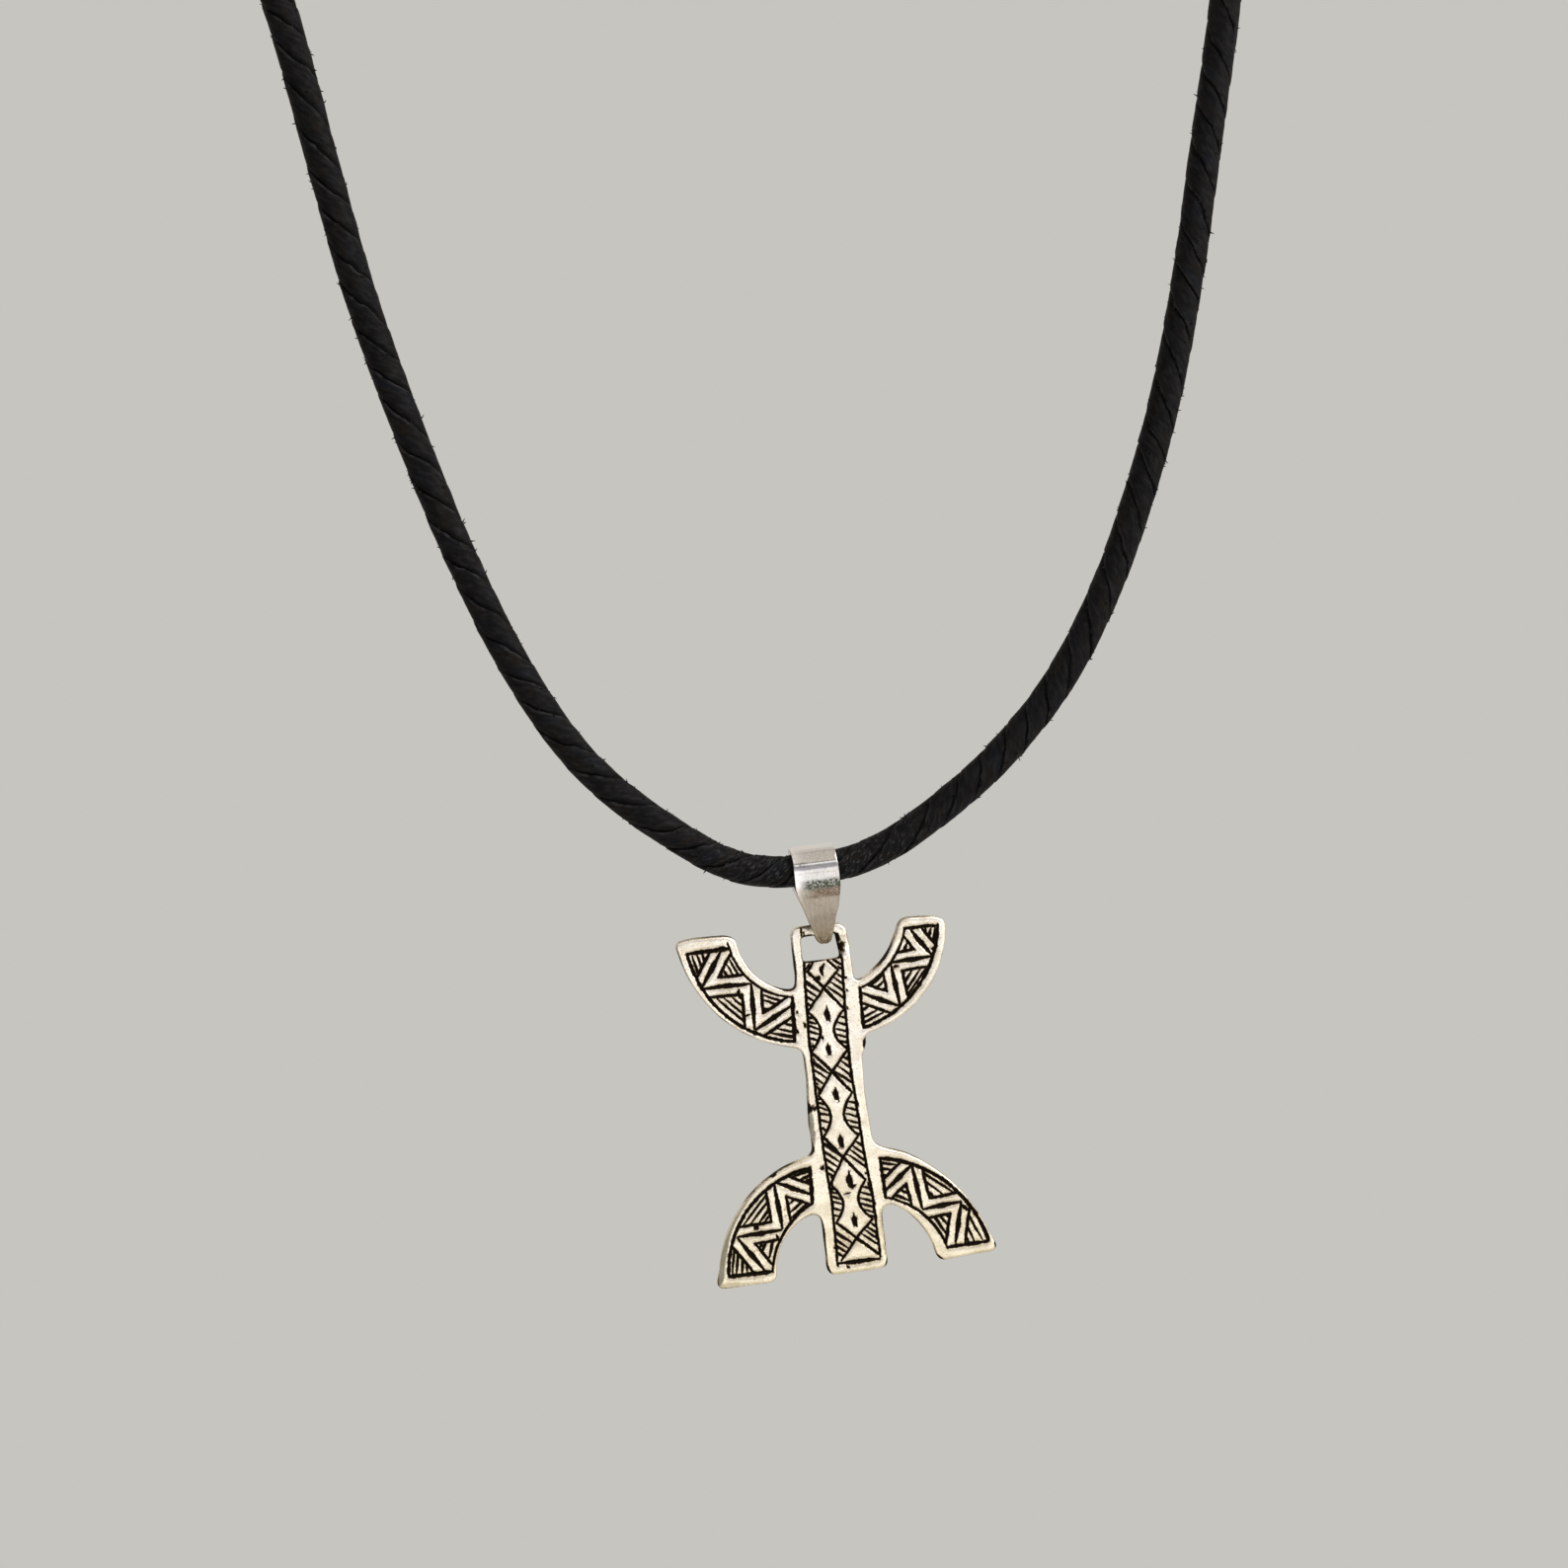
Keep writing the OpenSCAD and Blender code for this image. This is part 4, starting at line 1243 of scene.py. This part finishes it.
def engraved(points):
    """How far the front is cut down at each point, and how black it is there."""
    deep = np.zeros(len(points))
    black = np.zeros(len(points))
    for middle, halves, depths in strokes:
        line = np.array(middle)
        halves, depths = np.array(halves), np.array(depths)
        reach = halves.max() + shoulder
        near = np.flatnonzero(np.all((points > line.min(axis=0) - reach)
                                     & (points < line.max(axis=0) + reach), axis=1))
        if not len(near):
            continue
        spans = line[1:] - line[:-1]
        offset = points[near][:, None, :] - line[None, :-1, :]
        t = np.clip((offset * spans).sum(axis=2) / (spans**2).sum(axis=1), 0, 1)
        away = np.linalg.norm(offset - t[:, :, None] * spans, axis=2)
        half = halves[:-1] + t * (halves[1:] - halves[:-1])
        best = (away / half).argmin(axis=1)
        row = np.arange(len(near))
        away, half = away[row, best], half[row, best]
        depth = (depths[:-1] + t * (depths[1:] - depths[:-1]))[row, best]
        share = np.clip(away / half, 0, 1)
        beyond = np.clip(away - half, 0, None)
        cut = depth * np.clip((1 - share) / 0.55, 0, 1)
        cut += shoulder_drop * np.clip(1 - beyond / shoulder, 0, 1) ** 2
        dark = (1 - 0.35 * share**2) * np.clip(1 - beyond / fringe, 0, 1)
        deep[near] = np.maximum(deep[near], cut)
        black[near] = np.maximum(black[near], dark)
    return deep, black


def tumbled(points, size, height, seed):
    """Gentle hollows of a cast and tumbled face."""
    return np.array([height * noise.noise(Vector((x / size, z / size, seed))) for x, z in points])


def triangulated(points, edges, outer, hole):
    """Triangles between the outline and the hole, with an edge along each given line."""
    made = delaunay_2d_cdt([Vector(p) for p in points], edges, [outer, hole], 0, 0.012)
    spots, triangles, owners = made[0], made[2], made[5]
    kept = [tuple(face) for face, owner in zip(triangles, owners) if owner == [0]]
    return np.array([tuple(p) for p in spots]), kept


def loop_edges(first, count):
    """Edges that close a row of points into a loop."""
    return [(first + k, first + (k + 1) % count) for k in range(count)]


def face_points(loops, rings, spread, keep_clear, seed):
    """Points and lines of one face of the plate: outline, hole, rings beside them, and a
    scatter in between that stays clear of what is already there."""
    points, edges, faces = [], [], []
    for loop in loops:
        ids = list(range(len(points), len(points) + len(loop)))
        faces.append(ids if area(loop) > 0 else ids[::-1])
        edges += loop_edges(len(points), len(loop))
        points += loop
    for distance in rings:
        for loop in loops:
            ring = inset(loop, distance)
            edges += loop_edges(len(points), len(ring))
            points += ring
    for line in keep_clear:
        edges += [(len(points) + k, len(points) + k + 1) for k in range(len(line) - 1)]
        points += line
    low = np.array(loops[0]).min(axis=0)
    high = np.array(loops[0]).max(axis=0)
    taken = {}
    for point in points:
        taken.setdefault((int(point.x / spread), int(point.y / spread)), []).append(point)
    dice = random.Random(seed)
    for i in range(int((high[0] - low[0]) / spread)):
        for k in range(int((high[1] - low[1]) / spread)):
            spot = Vector((low[0] + (i + dice.random()) * spread, low[1] + (k + dice.random()) * spread))
            cell = (int(spot.x / spread), int(spot.y / spread))
            close = any(
                (spot - other).length < 0.45 * spread
                for a in (-1, 0, 1) for b in (-1, 0, 1)
                for other in taken.get((cell[0] + a, cell[1] + b), [])
            )
            if not close:
                points.append(spot)
    return points, edges, faces


def side_lines(middle, halves):
    """The lines along one cut, on both sides: its floor's edge, its own edge, and where the
    fringe of black ends."""
    lines = []
    ways = [(b - a).normalized() for a, b in zip(middle, middle[1:])]
    ways.append(ways[-1])
    for share, extra in ((0.45, 0), (1, 0), (1, 0.8 * fringe)):
        for side in (-1, 1):
            lines.append([
                p + Vector((-way.y, way.x)) * side * (half * share + extra)
                for p, way, half in zip(middle, ways, halves)
            ])
    return lines


def filed(loop, outer):
    """The outline of the plate or of its hole made handmade: facets eased, edge uneven, filed
    in and left full in places. The metal lies to the left of the line."""
    loop = softened(spaced(loop, outline_step, closed=True), 14 if outer else 5)
    if (area(loop) > 0) != outer:
        loop.reverse()
    moved = []
    for p, q in zip(loop, inset(loop, 1.0)):
        uneven = 0.04 * noise.noise(Vector((p.x * 0.9, p.y * 0.9, 3.0 if outer else 4.0)))
        spot = p + (q - p) * uneven
        for x, z, reach, move_x, move_z in FILED:
            pull = max(0, 1 - (p - Vector((x, z))).length / reach)
            spot += Vector((move_x, move_z)) * pull
        moved.append(spot)
    return softened(moved, 4)


def edge_black_and_shade(points):
    """How black the plate's edge is at each of the points: partly tarnish and partly painted shade on
    the walls.
    """
    return np.clip(0.3 + tumbled(points, 1.7, 0.5, 8.0) + around_places(points, TARNISH_AND_SHADE), 0, 1)


def front_face(loops):
    """The front: its points, how black each is, and its triangles."""
    lines = [line for middle, halves, _ in strokes for line in side_lines(middle, halves)]
    points, edges, faces = face_points(loops, front_rings, front_spread, lines, 11)
    spots, triangles = triangulated(points, edges, *faces)

    # The edge is rounded, or slopes flat where it is wider
    from_edge = np.minimum(distances(spots, loops[0], 1.0), distances(spots, loops[1], 1.0))
    wider = around_places(spots, BEVELS)
    slope_w = front_round + wider
    edge_share = np.clip(1 - from_edge / slope_w, 0, 1)
    flat_share = np.clip(wider / 0.3, 0, 1)
    profile = flat_share * edge_share + (1 - flat_share) * (1 - np.sqrt(1 - edge_share**2))
    deep, black = engraved(spots)
    drop = np.minimum(slope_w, deepest_bevel) * profile + deep * (1 - edge_share)
    drop += 0.03 + tumbled(spots, 1.3, 0.024, 1.0) + tumbled(spots, 0.5, 0.01, 2.0)
    skin = [(x, -plate_t / 2 + d, z) for (x, z), d in zip(spots, drop)]

    # The black on the edge, tarnish and painted shade, spreads further in where there is more of it
    spread_in = 0.7 - 0.65 * np.clip(around_places(spots, TARNISH_AND_SHADE), 0, 1)
    rim_black_and_shade = edge_black_and_shade(spots) * np.clip((edge_share - spread_in) / 0.25, 0, 1)
    # Grime, with painted contact shadow beside the bail's tongue
    grime_and_shadow = around_places(spots, GRIME_AND_SHADOW) * (0.75 + tumbled(spots, 0.25, 0.6, 9.0))
    black = list(np.maximum(np.maximum(black, rim_black_and_shade), np.clip(grime_and_shadow, 0, 0.9)))
    return skin, black, triangles


def open_rims(triangles):
    """The rows of points along a surface's open edges, longest first."""
    used = {(a, b) for t in triangles for a, b in zip(t, t[1:] + t[:1])}
    nexts = {}
    for a, b in used:
        if (b, a) not in used:
            nexts[a] = b
    rims = []
    while nexts:
        first, at = nexts.popitem()
        rim = [first]
        while at != first:
            rim.append(at)
            at = nexts.pop(at)
        rims.append(rim)
    return sorted(rims, key=len, reverse=True)


def add_wall(rim, skin, black, triangles):
    """The wall from one open edge of the front towards the back, a little swollen. Returns
    the points of its far edge."""
    outline = [Vector((skin[v][0], skin[v][2])) for v in rim]
    # The walls take the edge's black, which is partly painted shade
    tones = edge_black_and_shade(np.array([tuple(p) for p in outline]))
    above = rim
    for share in (0.3, 0.65, 1.0):
        ring = list(range(len(skin), len(skin) + len(rim)))
        swell = 0.03 if share < 1 else 0
        for v, p, q, tone in zip(rim, outline, inset(outline, -1.0), tones):
            bulge = swell * (0.5 + 0.5 * noise.noise(Vector((p.x, p.y, share * 3))))
            depth = skin[v][1] + share * (plate_t / 2 - back_round - skin[v][1])
            skin.append((p.x + (q.x - p.x) * bulge, depth, p.y + (q.y - p.y) * bulge))
            black.append(tone)
        for k in range(len(ring)):
            m = (k + 1) % len(ring)
            triangles.append((above[m], above[k], ring[k], ring[m]))
        above = ring
    return above


def add_back(rims, skin, black, triangles):
    """The plain back, rounded at its edges and slightly hollowed, joined to the walls."""
    loops = [[Vector((skin[v][0], skin[v][2])) for v in rim] for rim in rims]
    points, edges, faces = face_points(loops, back_rings, back_spread, [], 12)
    spots, back_triangles = triangulated(points, edges, *faces)
    from_edge = np.minimum(distances(spots, loops[0], 0.5), distances(spots, loops[1], 0.5))
    drop = back_round - np.sqrt(back_round**2 - np.clip(back_round - from_edge, 0, back_round) ** 2)
    drop += (0.02 + tumbled(spots, 1.8, 0.03, 5.0)) * np.clip(from_edge / 0.3, 0, 1)
    tones = np.clip(0.12 + tumbled(spots, 3.0, 0.3, 6.0), 0, 0.4)
    known = {}
    for rim, loop in zip(rims, loops):
        for v, p in zip(rim, loop):
            known[round(p.x, 5), round(p.y, 5)] = v
    renamed = []
    for (x, z), d, tone in zip(spots, drop, tones):
        key = (round(x, 5), round(z, 5))
        if key in known:
            renamed.append(known[key])
        else:
            renamed.append(len(skin))
            skin.append((x, plate_t / 2 - d, z))
            black.append(tone)
    triangles += [tuple(renamed[v] for v in reversed(t)) for t in back_triangles]


def cast_plate():
    """The whole plate as one closed skin: engraved front, plain back and the walls between."""
    outline, hole = plate_loops()[:2]
    skin, black, triangles = front_face([filed(outline, True), filed(hole, False)])
    rims = [add_wall(rim, skin, black, triangles) for rim in open_rims(triangles)[:2]]
    add_back(rims, skin, black, triangles)
    piece = mesh_piece("yaz_plate", [Vector((x, y, z + hinge_z)) * MM for x, y, z in skin], triangles)
    piece.data.attributes.new("blackened_and_shade", "FLOAT", "POINT").data.foreach_set(
        "value", np.array(black, np.float32))
    return piece


plate = cast_plate()


def tumbled_silver():
    """Silver cast in sand and tumbled bright: soft warm white with a fine sandy speckle. The
    black left in the lines is a dull sulphide that the tumbling missed, and it thins out
    through brown. The black on some edges and beside the bail is partly that sulphide and
    partly painted shade."""
    material, tree, shader = start_material("tumbled_cast_silver", Metallic=1.0)
    place = add(tree, "ShaderNodeTexCoord").outputs["Object"]
    blackened_and_shade = add(tree, "ShaderNodeAttribute", attribute_name="blackened_and_shade").outputs["Fac"]
    sand = add(tree, "ShaderNodeTexNoise",
               {"Vector": place, "Scale": 1 / (0.18 * MM), "Detail": 3.0, "Roughness": 0.6})
    ragged = add(tree, "ShaderNodeMapRange",
                 {"Value": sand, "From Min": 0.25, "From Max": 0.75, "To Min": -0.2, "To Max": 0.2})
    sulphide_and_shade = add(tree, "ShaderNodeMath", {0: blackened_and_shade, 1: ragged})
    brown = add(tree, "ShaderNodeMapRange",
                {"Value": sulphide_and_shade, "From Min": 0.1, "From Max": 0.4})
    black = add(tree, "ShaderNodeMapRange",
                {"Value": sulphide_and_shade, "From Min": 0.38, "From Max": 0.62})

    # The silver is duller in worn patches, and warmer and darker towards the feet, which is a painted
    # warm reflection
    worn = speckle(tree, place, 1.4 * MM, 0.4, 0.65)
    specks = speckle(tree, place, 0.17 * MM, 0.6, 0.72, 1.0)
    height = add(tree, "ShaderNodeSeparateXYZ", {"Vector": place}).outputs["Z"]
    warm_reflection = add(tree, "ShaderNodeMapRange", {
        "Value": height, "From Min": (hinge_z - 12) * MM, "From Max": (hinge_z - 32) * MM,
    })
    warm_reflected_silver = layered(tree, colour("#f1e9d3"), [(worn, colour("#dfd5bc"))])
    tone = layered(tree, colour("#f6f1e6"), [
        (worn, colour("#e5ddcd")), (warm_reflection, warm_reflected_silver), (specks, colour("#c4b28f")),
        (brown, colour("#7b6a50")), (black, colour("#1e1813")),
    ])
    tree.links.new(tone.outputs[2], shader.inputs["Base Color"])
    dull = add(tree, "ShaderNodeMapRange", {"Value": brown, "To Min": 0.3, "To Max": 0.62})
    tree.links.new(dull.outputs["Result"], shader.inputs["Roughness"])
    cast = add(tree, "ShaderNodeBump", {"Height": sand, "Strength": 0.8, "Distance": 0.02 * MM})
    tree.links.new(cast.outputs["Normal"], shader.inputs["Normal"])
    return material


plate.data.materials.append(tumbled_silver())
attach(plate, "pendant")
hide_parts("yaz_pendant")


# Floor, backdrop and light
# A plain pale floor well below, a pale surround the colour of the photograph's wall, and a
# large soft key light from the upper right with a weaker one from the lower left, in metres.
floor_z = -0.8
floor_half = 1.1
floor = mesh_piece(
    "floor",
    [(x * floor_half, y * floor_half, floor_z) for x, y in ((-1, -1), (1, -1), (1, 1), (-1, 1))],
    [(0, 1, 2, 3)],
)


def pale_paint():
    """Matt emulsion, off-white."""
    material, tree, shader = start_material("matt_pale_paint", Roughness=0.9)
    place = add(tree, "ShaderNodeTexCoord").outputs["Object"]
    uneven = speckle(tree, place, 0.4, 0.4, 0.7)
    tone = layered(tree, colour("#e6e5e1"), [(uneven, colour("#e1e0dc"))])
    tree.links.new(tone.outputs[2], shader.inputs["Base Color"])
    return material


floor.data.materials.append(pale_paint())


def surround():
    """To the camera, the pale wall. To the silver, a room in front of it, in bands of light
    and dark from the floor to the ceiling, darker far left and brighter far right, and the
    wall behind it."""
    world = bpy.data.worlds.new("studio")
    world.use_nodes = True
    tree = world.node_tree
    tree.nodes.clear()
    seen = add(tree, "ShaderNodeBackground", {"Color": colour("#c6c5c0"), "Strength": 1.0})
    way = add(tree, "ShaderNodeTexCoord").outputs["Generated"]
    parts = add(tree, "ShaderNodeSeparateXYZ", {"Vector": way})
    height = add(tree, "ShaderNodeMapRange",
                 {"Value": parts.outputs["Z"], "From Min": -1.0, "From Max": 1.0})
    bands = add(tree, "ShaderNodeValToRGB", {"Fac": height})

    # The room's tone at each height above the horizon, in degrees
    room = [
        (-90, "#78716a"), (-50, "#928a7e"), (-28, "#afa699"), (-22, "#e2dacd"), (-17, "#fffdf9"),
        (-8, "#ffffff"), (-4, "#e8e6e6"), (-0.5, "#aba8ab"), (19.7, "#a19ea1"), (20.4, "#ffffff"),
        (27.6, "#ffffff"), (28.4, "#7d766f"), (31, "#948d84"), (34, "#cdc6bb"), (90, "#c6bfb5"),
    ]
    for degrees, code in room[1:-1]:
        share = (math.sin(math.radians(degrees)) + 1) / 2
        bands.color_ramp.elements.new(share).color = colour(code)
    bands.color_ramp.elements[0].color = colour(room[0][1])
    bands.color_ramp.elements[-1].color = colour(room[-1][1])
    aside = add(tree, "ShaderNodeMath", {0: parts.outputs["X"]}, operation="ABSOLUTE")
    aside = add(tree, "ShaderNodeMapRange", {"Value": aside, "From Min": 0.42, "From Max": 0.8})
    rightward = add(tree, "ShaderNodeMapRange",
                    {"Value": parts.outputs["X"], "From Min": -0.3, "From Max": 0.3})
    sides = layered(tree, colour("#757370"), [(rightward, colour("#f8f4ed"))])
    upward = add(tree, "ShaderNodeMapRange",
                 {"Value": parts.outputs["Z"], "From Min": -0.35, "From Max": 0.25})
    wall = layered(tree, colour("#928a7e"), [(upward, colour("#b9b4ab"))])
    behind = add(tree, "ShaderNodeMapRange",
                 {"Value": parts.outputs["Y"], "From Min": 0.0, "From Max": 0.3})
    tone = layered(tree, bands, [(aside, sides), (behind, wall)])
    lit = add(tree, "ShaderNodeBackground", {"Color": tone.outputs[2], "Strength": 1.45})
    ray = add(tree, "ShaderNodeLightPath").outputs["Is Camera Ray"]
    both = add(tree, "ShaderNodeMixShader", {0: ray, 1: lit, 2: seen})
    add(tree, "ShaderNodeOutputWorld", {"Surface": both})
    bpy.context.scene.world = world


def soft_light(name, place, size, power):
    """A square light that faces the bail."""
    light = bpy.data.objects.new(name, bpy.data.lights.new(name, "AREA"))
    light.data.size = size
    light.data.energy = power
    light.location = place
    light.rotation_euler = (aim - Vector(place)).to_track_quat("-Z", "Y").to_euler()
    bpy.context.scene.collection.objects.link(light)


surround()
soft_light("key", (0.6, -0.4, 0.3), 0.7, 4.2)
soft_light("fill", (-0.45, -0.6, -0.42), 0.6, 0.5)
bpy.context.scene.view_settings.view_transform = "Standard"
